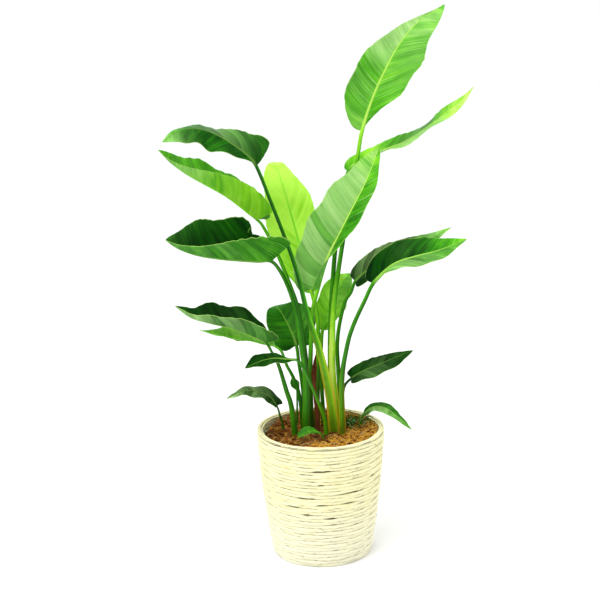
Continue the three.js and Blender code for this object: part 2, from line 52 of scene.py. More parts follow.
CAMERA_PLACE = Vector((-0.0425, -3.0, 1.356))
CAMERA_PITCH = math.radians(13.9)
CAMERA_ROLL = 0.02
PICTURE_WIDTH = 600
FOCAL_PIXELS = 1340
FLOOR_SIZE = 240
FLOOR_DROP = 0.0005
ROOM_FRONT = 0.25
ROOM_BACK = 1.2
# Soft lights: where each hangs, the height it is aimed at over the origin, its size and its watts.
LIGHTS = {
    "overhead": ((-0.6, -0.9, 3.2), 0.6, 1.8, 50),
    "left_front": ((-2.4, -2.6, 2.0), 0.5, 1.4, 26),
    "right_front": ((2.6, -2.6, 1.4), 0.4, 1.2, 8),
}

scene = bpy.context.scene
scene.view_settings.view_transform = "Standard"

bpy.ops.object.camera_add()
camera = bpy.context.object
camera.data.lens = camera.data.sensor_width * FOCAL_PIXELS / PICTURE_WIDTH
camera.matrix_world = (
    Matrix.Translation(CAMERA_PLACE)
    @ Matrix.Rotation(math.pi / 2 - CAMERA_PITCH, 4, "X")
    @ Matrix.Rotation(-CAMERA_ROLL, 4, "Z")
)
scene.camera = camera


class Shade:
    """A value or colour on its way through a material. Arithmetic on it adds Math nodes."""

    def __init__(self, tree, socket=None):
        self.tree = tree
        self.socket = socket

    def node(self, kind, settings=None, inputs=None, output=0):
        """Adds a node, sets its settings, fills or links its sockets, and hands on one output."""
        made = self.tree.nodes.new("ShaderNode" + kind)
        for key, value in (settings or {}).items():
            if key == "stops":
                for position, _ in value[2:]:
                    made.color_ramp.elements.new(position)
                for stop, (position, colour) in zip(made.color_ramp.elements, value):
                    stop.position = position
                    stop.color = (*colour, 1)
            else:
                setattr(made, key, value)
        for key, value in (inputs or {}).items():
            if isinstance(value, Shade):
                self.tree.links.new(value.socket, made.inputs[key])
            elif made.inputs[key].type == "RGBA":
                made.inputs[key].default_value = (*value, 1)
            else:
                made.inputs[key].default_value = value
        return Shade(self.tree, made.outputs[output] if made.outputs else None)

    def output(self, name):
        return Shade(self.tree, self.socket.node.outputs[name])

    def maths(self, operation, *values):
        return self.node("Math", {"operation": operation}, dict(enumerate(values)))

    def mix(self, share, first, second):
        return self.node("Mix", {"data_type": "RGBA"}, {0: share, 6: first, 7: second}, 2)

    def clamp(self):
        return self.node("Clamp", {}, {"Value": self})

    def __add__(self, other):
        return self.maths("ADD", self, other)

    def __sub__(self, other):
        return self.maths("SUBTRACT", self, other)

    def __rsub__(self, other):
        return self.maths("SUBTRACT", other, self)

    def __mul__(self, other):
        return self.maths("MULTIPLY", self, other)

    def __pow__(self, other):
        return self.maths("POWER", self, other)

    __radd__ = __add__
    __rmul__ = __mul__


def new_finish(name):
    """An empty material, and the start of its nodes."""
    finish = bpy.data.materials.new(name)
    finish.use_nodes = True
    finish.node_tree.nodes.clear()
    return finish, Shade(finish.node_tree)


def coat(start, colour, roughness, gloss=0.5, relief=None):
    """An opaque surface."""
    looks = {"Base Color": colour, "Roughness": roughness, "Specular IOR Level": gloss}
    if relief is not None:
        looks["Normal"] = relief
    return start.node("BsdfPrincipled", {}, looks)


def show(surface):
    surface.node("OutputMaterial", {}, {"Surface": surface})


def eased(value, low, high, first=0.0, last=1.0):
    """Runs smoothly from first to last while the value runs from low to high."""
    return value.node("MapRange", {"interpolation_type": "SMOOTHSTEP"}, {
        "Value": value, "From Min": low, "From Max": high, "To Min": first, "To Max": last})


def deselect():
    bpy.ops.object.select_all(action="DESELECT")


def wear(piece, finish):
    piece.data.materials.clear()
    piece.data.materials.append(finish)


deselect()
bpy.ops.mesh.primitive_plane_add(size=FLOOR_SIZE, location=(0, 0, -FLOOR_DROP))
floor = bpy.context.object
floor.name = "floor"
bpy.ops.object.transform_apply(location=True)
floor_finish, start = new_finish("pale_floor")
show(coat(start, (0.93, 0.94, 0.95), 0.9))
wear(floor, floor_finish)

room = bpy.data.worlds.new("white_room")
scene.world = room
room.use_nodes = True
room.node_tree.nodes.clear()
start = Shade(room.node_tree)
direction = start.node("TexCoord", {}, {}, "Generated")
across = start.node("SeparateXYZ", {}, {"Vector": direction}, "Y")
height = across.output("Z")
lit = eased(across + height * 1.3, -0.6, 0.7, ROOM_FRONT, ROOM_BACK)
walls = start.node("Background", {}, {"Color": (1.0, 1.0, 1.0), "Strength": lit})
start.node("OutputWorld", {}, {"Surface": walls})

for name, (place, aim, size, power) in LIGHTS.items():
    bpy.ops.object.light_add(type="AREA", location=place)
    light = bpy.context.object
    light.name = name
    light.data.shape = "SQUARE"
    light.data.size = size
    light.data.energy = power
    light.rotation_euler = (Vector((0, 0, aim)) - Vector(place)).to_track_quat("-Z", "Y").to_euler()

# ---------------------------------------------------------------- basket: the woven wall
# Thirty-five rounds of loosely twisted husk rope, woven in front of and behind upright stakes.
# Each round is pressed against the next, and here and there a slack round leaves a dark gap.

BASKET_RIM = 0.150
BASKET_FOOT = 0.118
BASKET_BELLY = 0.0045
BASKET_TOP = 0.306
LOWER_EDGE = 0.012
LOWER_EDGE_INWARD = 0.003
STAKES = 14
ROPE_ROWS = 36
ROPE_DEPTH = 0.0046
ROPE_SQUEEZE = 0.51
ROPE_SIDES = 12
ROUND_STEPS = 200
ROUND_TURN = 2.4
TWISTS = 19
TWIST_SHIFT = 1.7
WEAVE_DEPTH = 0.0012
# The pressed rope's section, from 0, a box, to 1, round.
ROUNDNESS = 0.35
# How far a strand, a fibre and a fine or broad lump stand out, as shares of the rope's own size.
STRANDS, FIBRES, FINE_LUMPS, PLUMP_LUMPS = 0.06, 0.035, 0.07, 0.13
WANDER_OUT = 0.0007
WANDER_UP = 0.0009
FINE_WANDER_UP = 0.0004
LOWEST_ROPE = 0.0002
SLACK_LIFT = 0.0016
SLACK_REACH = 1.5
# Slack places of the weave: degrees from the front towards +X, height and length.
SLACK = [
    (-1, 0.249, 0.046), (-1, 0.215, 0.014), (-15, 0.179, 0.050), (26, 0.183, 0.050),
    (0, 0.159, 0.030), (27, 0.161, 0.032), (-29, 0.151, 0.030), (55, 0.216, 0.022),
    (-16, 0.140, 0.020), (8, 0.124, 0.024), (-95, 0.230, 0.040), (140, 0.190, 0.044),
    (-150, 0.120, 0.036), (100, 0.100, 0.026), (180, 0.245, 0.040), (-120, 0.170, 0.028),
]
PALE_HUSK = [(0.92, 0.88, 0.55), (0.86, 0.80, 0.43), (0.56, 0.48, 0.22)]
# Painted light: the pale colour the lowest rounds fade to, as if lit from the bright floor.
LOW_HUSK_PAINTED_LIGHT = (0.92, 0.90, 0.74)
SEAM_SHADOW = (0.07, 0.035, 0.01)

row_height = BASKET_TOP / ROPE_ROWS


def wall_radius(z):
    """Outer radius of the basket's wall: a slightly bowed taper, drawn in at the lower edge."""
    share = z / BASKET_TOP
    taper = BASKET_FOOT + (BASKET_RIM - BASKET_FOOT) * share
    edge = max(0, 1 - z / LOWER_EDGE)
    return taper + 4 * BASKET_BELLY * share * (1 - share) - LOWER_EDGE_INWARD * edge * edge


def slack_at(angle, z):
    """How far the rope at this place is pushed up or down by a slack place beside it."""
    shift = 0
    for degrees, height, length in SLACK:
        middle = math.radians(degrees - 90)
        turn = (angle - middle + math.pi) % math.tau - math.pi
        near = turn * wall_radius(height) / (length / 2)
        if abs(near) < SLACK_REACH and abs(z - height) < row_height:
            shift += math.copysign(SLACK_LIFT, z - height) * math.exp(-(near ** 4))
    return shift


def lumps(front, count, shift):
    """Soft lumps round a rope, from about -1 to 1, and different on a row with another shift."""
    return noise.noise(front * count + Vector((0, 0, shift)))


def rope_round(row, radius, z, depth, half_height, swing):
    """One round of rope: a ring whose strands are twisted, and which weaves and wanders a little."""
    deselect()
    bpy.ops.mesh.primitive_torus_add(
        major_radius=radius, minor_radius=depth, major_segments=ROUND_STEPS,
        minor_segments=ROPE_SIDES, location=(0, 0, z),
        rotation=(0, 0, ROUND_TURN * row + ROUND_TURN / 2),
    )
    bpy.ops.object.transform_apply(location=True, rotation=True)
    rope = bpy.context.object
    for vertex in rope.data.vertices:
        angle = math.atan2(vertex.co.y, vertex.co.x)
        outward = math.hypot(vertex.co.x, vertex.co.y) - radius
        upward = vertex.co.z - z
        outward = math.copysign(depth * abs(outward / depth) ** ROUNDNESS, outward)
        turned = math.atan2(upward, outward) + TWISTS * angle + TWIST_SHIFT * row
        front = Vector((math.cos(angle), math.sin(angle), 0))
        soft = lumps(front, 4, 3.7 * row)
        fine = lumps(front, 17, 5.1 * row)
        plump = lumps(front, 9, 2.3 * row)
        twist = 1 + STRANDS * math.cos(2 * turned) + FIBRES * math.cos(5 * turned)
        strand = twist + FINE_LUMPS * fine + PLUMP_LUMPS * plump
        reach = radius + swing * math.cos(STAKES / 2 * angle + math.pi * row) + WANDER_OUT * soft
        lift = WANDER_UP * soft + FINE_WANDER_UP * fine + slack_at(angle, z)
        vertex.co = front * (reach + outward * strand)
        vertex.co.z = max(LOWEST_ROPE, z + lift + upward * strand * half_height / depth)
    return rope


def join_pieces(name, pieces):
    deselect()
    for piece in pieces:
        piece.select_set(True)
    bpy.context.view_layer.objects.active = pieces[0]
    bpy.ops.object.join()
    joined = bpy.context.object
    joined.name = name
    bpy.ops.object.shade_smooth()
    return joined


def cloudy(place, scale, detail):
    """Soft irregular patches, from 0 to 1."""
    return place.node("TexNoise", {}, {"Vector": place, "Scale": scale, "Detail": detail}, "Fac")


def tinted(value, stops):
    """The colour that the value stands for, between colours at their stops."""
    return value.node("ValToRGB", {"stops": stops}, {"Fac": value})


def relief_of(height, strength, distance):
    return height.node("Bump", {}, {"Strength": strength, "Distance": distance, "Height": height})


def husk_finish(name, pale, straw, dull, groove=0.0):
    """Dry husk: pale streaks along the fibres, a few dull ones, painted shade where rounds meet, and
    painted light from the floor on the lowest rounds. Rounds meet above and below each other, or,
    with a groove of 0.25, side by side."""
    finish, start = new_finish(name)
    along = start.node("UVMap", {}, {}, "UV")
    around = start.node("SeparateXYZ", {}, {"Vector": along}, "X")
    side = around.output("Y")
    fibre = start.node("CombineXYZ", {}, {"X": around * 42.0, "Y": (side + around * TWISTS) * 9.0})
    streaks = cloudy(fibre, 2.2, 5.0)
    spot = start.node("TexCoord", {}, {}, "Object")
    blots = cloudy(spot, 26.0, 4.0)
    husk = tinted(streaks * 0.6 + blots * 0.4, [
        (0.26, dull), (0.36, straw), (0.50, pale), (0.75, pale)])
    # Painted light: towards the bottom the husk turns paler.
    low = eased(start.node("SeparateXYZ", {}, {"Vector": spot}, "Z"), 0.02, 0.20, 0.6, 0.0)
    colour = start.mix(low, husk, LOW_HUSK_PAINTED_LIGHT)
    # Painted shade: the seam where rounds meet is darkened, more strongly where the blots break it up.
    seam = start.maths("ABSOLUTE", start.maths("SINE", (side + groove) * math.tau)) ** 14.0
    broken = eased(blots * 0.6 + streaks * 0.4, 0.44, 0.58)
    shaded = start.mix((seam * (broken * 1.1 + 0.25)).clamp(), colour, SEAM_SHADOW)
    relief = relief_of(cloudy(fibre, 6.0, 3.0) + streaks, 0.4, 0.0012)
    show(coat(start, shaded, 0.78, 0.25, relief))
    return finish


rope_finish = husk_finish("pale_husk_rope", *PALE_HUSK)
row_heights = [row_height * (row + 0.5) for row in range(ROPE_ROWS - 1)]
wall = join_pieces("basket_wall", [
    rope_round(row, wall_radius(z) - ROPE_DEPTH, z, ROPE_DEPTH, row_height * ROPE_SQUEEZE, -WEAVE_DEPTH)
    for row, z in enumerate(row_heights)
])
wear(wall, rope_finish)
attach(wall, "root")
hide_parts("basket")

# ---------------------------------------------------------------- basket: the rolled rim
# Three rounds of the same rope lie side by side along the top edge, the middle one highest.
# They hide the ends of the stakes, and are bound down by the round below them.

RIM_ROPE = 0.0023
RIM_HALF_HEIGHT = RIM_ROPE * 1.05
RIM_SWING = 0.0003
FIRST_RIM_ROW = 40
# How far each round lies in from the basket's edge, and down from its top.
RIM_ROUNDS = [(0.0027, 0.0046), (0.0070, 0.0038), (0.0112, 0.0060)]

rim = join_pieces("basket_rim", [
    rope_round(row, BASKET_RIM - inward, BASKET_TOP - down, RIM_ROPE, RIM_HALF_HEIGHT, RIM_SWING)
    for row, (inward, down) in enumerate(RIM_ROUNDS, FIRST_RIM_ROW)
])
wear(rim, husk_finish("rim_husk_rope", *PALE_HUSK, groove=0.25))
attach(rim, "root")
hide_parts("basket")

# ---------------------------------------------------------------- basket: frayed ends
# Short ends of husk fibre work loose from the rope all over the wall. Most lie nearly along their
# round, and a few stick out.

FRAYS = 260
FRAY_THICKNESS = 0.00035
FRAY_STEPS = 4
FRAY_LENGTHS = (0.006, 0.020)
FRAY_SLOPE = 0.35
FRAY_LIFTS = (0.0006, 0.0012, 0.0012, 0.0040)
FRAY_BURIED = 0.0012
LOWEST_FRAY = 0.001
THREAD_TAPER = 0.6


def scatter_threads(name, threads, thickness):
    """Thin bent fibres from lists of points: one curve with a round section, made into a mesh."""
    deselect()
    bpy.ops.curve.primitive_bezier_curve_add()
    tangle = bpy.context.object
    tangle.name = name
    shape = tangle.data
    shape.splines.clear()
    shape.bevel_depth = thickness
    shape.bevel_resolution = 0
    shape.use_fill_caps = True
    for points in threads:
        spline = shape.splines.new("POLY")
        spline.points.add(len(points) - 1)
        for i, (dot, point) in enumerate(zip(spline.points, points)):
            dot.co = (*point, 1)
            dot.radius = 1 - THREAD_TAPER * i / len(points)
    bpy.ops.object.convert(target="MESH")
    return bpy.context.object


def fibre_finish(name, dark, light):
    finish, start = new_finish(name)
    grain = cloudy(start.node("TexCoord", {}, {}, "Object"), 110.0, 2.0)
    show(coat(start, tinted(grain, [(0.38, dark), (0.62, light)]), 0.9, 0.04))
    return finish


def loose_end():
    """Points of a fibre that starts inside the rope and leaves it sideways."""
    z = BASKET_TOP * (0.02 + 0.96 * rng.random())
    angle = rng.uniform(0, math.tau)
    length = rng.uniform(*FRAY_LENGTHS)
    slope = rng.gauss(0, FRAY_SLOPE)
    lift = rng.choice(FRAY_LIFTS)
    side = rng.choice((-1, 1))
    points = []
    for i in range(FRAY_STEPS + 1):
        share = i / FRAY_STEPS
        reach = wall_radius(z) - FRAY_BURIED + FRAY_BURIED * min(1, 3 * share) + lift * share * share
        points.append(Vector((reach * math.cos(angle), reach * math.sin(angle), max(LOWEST_FRAY, z))))
        angle += side * length / FRAY_STEPS / reach
        z += slope * length / FRAY_STEPS
    return points


rng = random.Random(3)
frays = scatter_threads("basket_frays", [loose_end() for _ in range(FRAYS)], FRAY_THICKNESS)
wear(frays, fibre_finish("frayed_husk", (0.14, 0.08, 0.02), (0.72, 0.64, 0.34)))
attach(frays, "root")
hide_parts("basket")

# ---------------------------------------------------------------- basket: stakes and floor
# Fourteen thin stakes stand inside the weave from the floor to the rim. The floor is the same
# rope in flat rounds, from the middle out to the first round of the wall.

STAKE_RADIUS = 0.0022
STAKE_BURIED = 0.0048
STAKE_FOOT = 0.005
STAKE_SHORTER = 0.012
STAKE_SIDES = 8
STAKE_STEPS = 24
STAKE_KNOTS = 0.12
WELD = 0.00001
FLOOR_ROUNDS = 12
FLOOR_ROUND = 0.0085
# The innermost round's radius and a round's half width, as shares of the way between rounds.
FLOOR_START, FLOOR_HALF_WIDTH = 0.6, 0.52
FLOOR_MIDDLE = 0.0051
FLOOR_HALF_HEIGHT = 0.0042
FLOOR_SWING = 0.0002
FIRST_FLOOR_ROW = 60


def lay_grid(x_steps, y_steps):
    """A flat square grid, one metre wide, to be rolled or draped."""
    deselect()
    bpy.ops.mesh.primitive_grid_add(x_subdivisions=x_steps, y_subdivisions=y_steps, size=1)
    return bpy.context.object


def weld_and_close():
    """Welds the seam of the piece just shaped, closes its ends, and turns its faces outwards."""
    bpy.ops.object.mode_set(mode="EDIT")
    bpy.ops.mesh.select_all(action="SELECT")
    bpy.ops.mesh.remove_doubles(threshold=WELD)
    bpy.ops.mesh.fill_holes(sides=0)
    bpy.ops.mesh.normals_make_consistent(inside=False)
    bpy.ops.object.mode_set(mode="OBJECT")


def stand_stake(k):
    angle = math.tau * k / STAKES
    stake = lay_grid(STAKE_SIDES, STAKE_STEPS)
    for vertex in stake.data.vertices:
        turn = math.tau * (vertex.co.x + 0.5)
        z = STAKE_FOOT + (BASKET_TOP - STAKE_SHORTER) * (vertex.co.y + 0.5)
        thick = STAKE_RADIUS * (1 + STAKE_KNOTS * noise.noise(Vector((k, 40 * z, 0))))
        reach = wall_radius(z) - STAKE_BURIED + thick * math.cos(turn)
        aside = thick * math.sin(turn)
        vertex.co = (
            reach * math.cos(angle) - aside * math.sin(angle),
            reach * math.sin(angle) + aside * math.cos(angle),
            z,
        )
    weld_and_close()
    return stake


stake_finish = husk_finish("dry_stake", (0.60, 0.50, 0.28), (0.46, 0.36, 0.18), (0.22, 0.15, 0.06))
stake_ring = join_pieces("basket_stakes", [stand_stake(k) for k in range(STAKES)])
wear(stake_ring, stake_finish)
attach(stake_ring, "root")
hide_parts("basket")

basket_floor = join_pieces("basket_floor", [
    rope_round(FIRST_FLOOR_ROW + i, FLOOR_ROUND * (i + FLOOR_START), FLOOR_MIDDLE,
               FLOOR_ROUND * FLOOR_HALF_WIDTH, FLOOR_HALF_HEIGHT, FLOOR_SWING)
    for i in range(FLOOR_ROUNDS)
])
wear(basket_floor, rope_finish)
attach(basket_floor, "root")
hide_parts("basket")

# ---------------------------------------------------------------- nursery pot and soil
# A thin black plastic pot stands inside the basket, hidden by the coir. Dark potting soil fills
# it, and every stalk is rooted in the soil.

plastic, start = new_finish("black_pot_plastic")
grain = cloudy(start.node("TexCoord", {}, {}, "Object"), 260.0, 3.0)
black = start.mix(grain, (0.022, 0.022, 0.021), (0.045, 0.043, 0.040))
show(coat(start, black, 0.5 + grain * 0.12, relief=relief_of(grain, 0.15, 0.0006)))
wear(frame["nodes"]["nursery_pot"], plastic)

potting_soil, start = new_finish("potting_soil")
place = start.node("TexCoord", {}, {}, "Object")
crumbs = start.node("TexVoronoi", {}, {"Vector": place, "Scale": 240.0}, "Distance")
damp = cloudy(place, 60.0, 6.0)
earth = tinted(damp * 0.7 + crumbs * 0.5, [
    (0.3, (0.012, 0.007, 0.004)), (0.55, (0.045, 0.024, 0.012)), (0.8, (0.11, 0.06, 0.03))])
show(coat(start, earth, 0.95, relief=relief_of(crumbs + damp, 0.8, 0.002)))
wear(frame["nodes"]["soil"], potting_soil)

# ---------------------------------------------------------------- coir mulch
# A mat of coconut fibre lies on the soil round the stalks: a lumpy bed, and over it loose
# curled fibres, golden at the right front and redder and darker near the stalks. On the bed
# the golden part carries painted light, and the darker red part painted shade.

COIR_RADIUS = 0.126
COIR_BOTTOM = 0.2746
COIR_LEVEL = 0.2855
COIR_STEPS = (96, 48)
COIR_BANK = 0.015
COIR_BANK_START, COIR_BANK_SHARE = 0.66, 0.34
COIR_BANK_OUTWARD = 0.009
COIR_DIP_TURN = 3.35
COIR_EDGE_WAVE = 0.0012
COIR_CROWN = 0.0025
COIR_LUMP = 0.0040
COIR_CRUMB = 0.0022
LUMPS_PER_METRE = 28
CRUMBS_PER_METRE = 90
# The outermost part of the bed's grid turns down over the edge, which is a little rounded.
COIR_SKIRT = 0.9
EDGE_START, EDGE_SHARE, EDGE_DROP = 0.93, 0.07, 0.001
rng = random.Random(7)


def bank_at(angle):
    """How much of the bank against the wall there is in this direction: none only at the left."""
    dip = max(0, math.cos(angle - COIR_DIP_TURN))
    return 1 - dip * dip


def coir_edge(angle):
    return COIR_RADIUS + COIR_BANK_OUTWARD * bank_at(angle) + COIR_EDGE_WAVE * math.sin(5 * angle)


def coir_height(x, y):
    """Height of the coir's lumpy surface, which is banked up against the basket's wall."""
    angle = math.atan2(y, x)
    share = math.hypot(x, y) / coir_edge(angle)
    climb = max(0, share - COIR_BANK_START) / COIR_BANK_SHARE
    lump = noise.noise(Vector((x * LUMPS_PER_METRE, y * LUMPS_PER_METRE, 0.3)))
    crumb = noise.noise(Vector((x * CRUMBS_PER_METRE, y * CRUMBS_PER_METRE, 2.1)))
    bank = COIR_BANK * bank_at(angle) * climb
    return COIR_LEVEL + COIR_CROWN * (1 - share) + COIR_LUMP * lump + COIR_CRUMB * crumb + bank


coir_bed = lay_grid(*COIR_STEPS)
for vertex in coir_bed.data.vertices:
    angle = math.tau * (vertex.co.x + 0.5)
    outward = vertex.co.y + 0.5
    share = min(1, outward / COIR_SKIRT)
    reach = coir_edge(angle) * share
    x = reach * math.cos(angle)
    y = reach * math.sin(angle)
    z = coir_height(x, y) - EDGE_DROP * max(0, share - EDGE_START) / EDGE_SHARE
    vertex.co = (x, y, z if outward < COIR_SKIRT + 0.01 else COIR_BOTTOM)
weld_and_close()
bpy.ops.object.shade_smooth()
coir_bed.name = "coir_bed"

coir_finish, start = new_finish("coir_fibre")
place = start.node("TexCoord", {}, {}, "Object")
east = start.node("SeparateXYZ", {}, {"Vector": place}, "X")
north = east.output("Y")
# Painted light and shade: the bed turns golden and brighter towards the right front, and redder and
# darker towards the stalks.
gold_and_light_share = eased(east - north * 0.7, -0.02, 0.12)
mixed = cloudy(place, 300.0, 3.0) * 0.7 + cloudy(place, 60.0, 5.0) * 0.7 - 0.2
red = tinted(mixed, [
    (0.32, (0.040, 0.012, 0.006)), (0.46, (0.24, 0.085, 0.020)), (0.60, (0.50, 0.22, 0.055))])
golden = tinted(mixed, [
    (0.32, (0.10, 0.035, 0.008)), (0.46, (0.50, 0.24, 0.030)), (0.62, (0.82, 0.50, 0.09))])
show(coat(start, start.mix(gold_and_light_share, red, golden), 0.9, 0.05, relief_of(mixed, 0.9, 0.002)))
wear(coir_bed, coir_finish)
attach(coir_bed, "root")
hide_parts("coir_mulch")

# Loose fibres: how many, the shortest and longest, how high they arch, the share that lies only
# where the mat is golden, their thickness, and their dark and light colours.
LOOSE_FIBRES = {
    "coir_dark_threads":
        (800, 0.010, 0.030, 0.004, 0.0, 0.0007, (0.016, 0.005, 0.003), (0.10, 0.035, 0.012)),
    "coir_red_threads":
        (600, 0.012, 0.034, 0.006, 0.0, 0.0006, (0.20, 0.045, 0.010), (0.50, 0.19, 0.035)),
    "coir_gold_threads":
        (700, 0.012, 0.032, 0.006, 0.75, 0.0007, (0.58, 0.26, 0.020), (0.92, 0.56, 0.09)),
    "coir_pale_threads":
        (70, 0.020, 0.045, 0.009, 0.2, 0.0005, (0.45, 0.28, 0.11), (0.72, 0.56, 0.28)),
    "coir_chips":
        (170, 0.008, 0.018, 0.003, 0.0, 0.0016, (0.016, 0.007, 0.004), (0.30, 0.12, 0.03)),
}
FIBRE_STEPS = 5
FIBRE_CURL = 0.75
FIBRE_LIES = 0.0006
INNER_SHARE = 0.98
MOST_OVERHANG = 0.002
GOLDEN_FROM = 0.045


def curled_fibre(x, y, length, rise):
    """Points of a fibre that lies on the coir and curls."""
    heading = rng.uniform(0, math.tau)
    curl = rng.uniform(-FIBRE_CURL, FIBRE_CURL)
    points = []
    for i in range(FIBRE_STEPS + 1):
        hump = math.sin(math.pi * (i / FIBRE_STEPS))
        points.append(Vector((x, y, coir_height(x, y) + FIBRE_LIES + rise * hump)))
        x += length / FIBRE_STEPS * math.cos(heading)
        y += length / FIBRE_STEPS * math.sin(heading)
        heading += curl
    return points


def loose_fibres(count, shortest, longest, rise, golden_share):
    """Fibres all over the mat; a share of them only where the mat is golden, at the right front."""
    fibres = []
    while len(fibres) < count:
        angle = rng.uniform(0, math.tau)
        reach = coir_edge(angle) * math.sqrt(rng.random()) * INNER_SHARE
        x = reach * math.cos(angle)
        y = reach * math.sin(angle)
        fibre = curled_fibre(x, y, rng.uniform(shortest, longest), rng.uniform(0, rise))
        inside = all(
            math.hypot(p.x, p.y) < coir_edge(math.atan2(p.y, p.x)) + MOST_OVERHANG for p in fibre)
        if inside and (rng.random() > golden_share or x - 0.7 * y > GOLDEN_FROM):
            fibres.append(fibre)
    return fibres


def lay_threads(name, fibres, thickness, dark, light):
    tangle = scatter_threads(name, fibres, thickness)
    wear(tangle, fibre_finish(name + "_husk", dark, light))
    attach(tangle, "root")
    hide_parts("coir_mulch")


for name, (count, shortest, longest, rise, golden_share, *looks) in LOOSE_FIBRES.items():
    lay_threads(name, loose_fibres(count, shortest, longest, rise, golden_share), *looks)

# ---------------------------------------------------------------- coir mulch: green tuft
# A tuft of fine green and straw pale sprouts grows out of the coir right of the stalks, near the
# rear wall.

TUFT_PLACE = (0.080, 0.050)
TUFT_SPREAD = 0.017
SPROUT_LEAN = 0.8
SPROUT_BURIED = 0.001
# Sprouts: how many, the tallest, their thickness, and their dark and light colours.
SPROUTS = {
    "coir_sprouts_green": (110, 0.024, 0.0009, (0.010, 0.060, 0.006), (0.06, 0.24, 0.02)),
    "coir_sprouts_pale": (16, 0.030, 0.0005, (0.55, 0.62, 0.34), (0.90, 0.90, 0.70)),
}


def tuft_blades(count, tallest):
    blades = []
    for _ in range(count):
        x = TUFT_PLACE[0] + rng.gauss(0, TUFT_SPREAD)
        y = TUFT_PLACE[1] + rng.gauss(0, TUFT_SPREAD)
        lean = rng.uniform(0, math.tau)
        height = rng.uniform(0.4, 1) * tallest
        blades.append([
            Vector((
                x + SPROUT_LEAN * height * s * s * math.cos(lean),
                y + SPROUT_LEAN * height * s * s * math.sin(lean),
                coir_height(x, y) - SPROUT_BURIED + height * (1.5 * s - s * s) * 1.4,
            ))
            for s in (0, 0.2, 0.4, 0.6, 0.8, 1)
        ])
    return blades


for name, (count, tallest, *looks) in SPROUTS.items():
    lay_threads(name, tuft_blades(count, tallest), *looks)

# ---------------------------------------------------------------- leaves
# A leaf grows as one piece. Its stalk is hollow above and round below, broad where it leaves the
# soil, and it runs on as the midrib, with a thin blade on both sides and fine veins slanting out.

MM = 0.001
FOOT_DEPTH = 244
PATH_STEPS = 24

# Measures of each leaf, in millimetres and degrees.
#   stalk  points of the path from the foot up to the blade
#   rib    points of the path along the midrib, the last the tip
#   faces  which way the upper surface looks at the blade's base, middle and tip
#   fold   degrees that each half rises from flat, at the base, middle and tip
#   shape  for each half: where it is widest, how blunt its base is, how sharp its tip is
#   width  greatest half width, left and right of the rib, looking from the base to the tip
#   curl   degrees that each half goes on turning between rib and margin
#   wave   height of the margin's waves, how many, and where they start
#   lobe   how far each half reaches back past the end of the stalk, as a share of the length
#   foot, neck  half widths of the stalk at its foot and where it meets the blade
# Tones run from 0, nearly black green, to 1, the palest lime. A run of them goes from base to tip,
# or up a stalk from the soil to the blade.
#   skin   tones of the halves left and right of the rib: the leaf's own colour, with painted shade
#          on a half turned from the light and painted light on a half lit from behind
#   bloom  how much pale wax, partly painted sheen, lies on each half
#   stalk_tone, rib_tone  tones of the stalk and the midrib; a stalk's low tones near the soil are
#                         partly painted shade among the crowded stalks
#   gold   how yellow the stalk's margins are
#   slope  how far the veins lean towards the tip on each half
#   turn   how strongly painted shade darkens the stalk to its right, or, below 0, to its left,
#          with painted light at the other edge
# A leaf has the plain measures where it gives none of its own.
PLAIN_LEAF = dict(
    curl=[0, 0], lobe=[0.02, 0.02], skin=[[0, 0], [0, 0]], bloom=[[0, 0], [0, 0]],
    stalk_tone=[0, 0], gold=[0, 0], rib_tone=0, slope=[0.5, 0.5], turn=1,
)
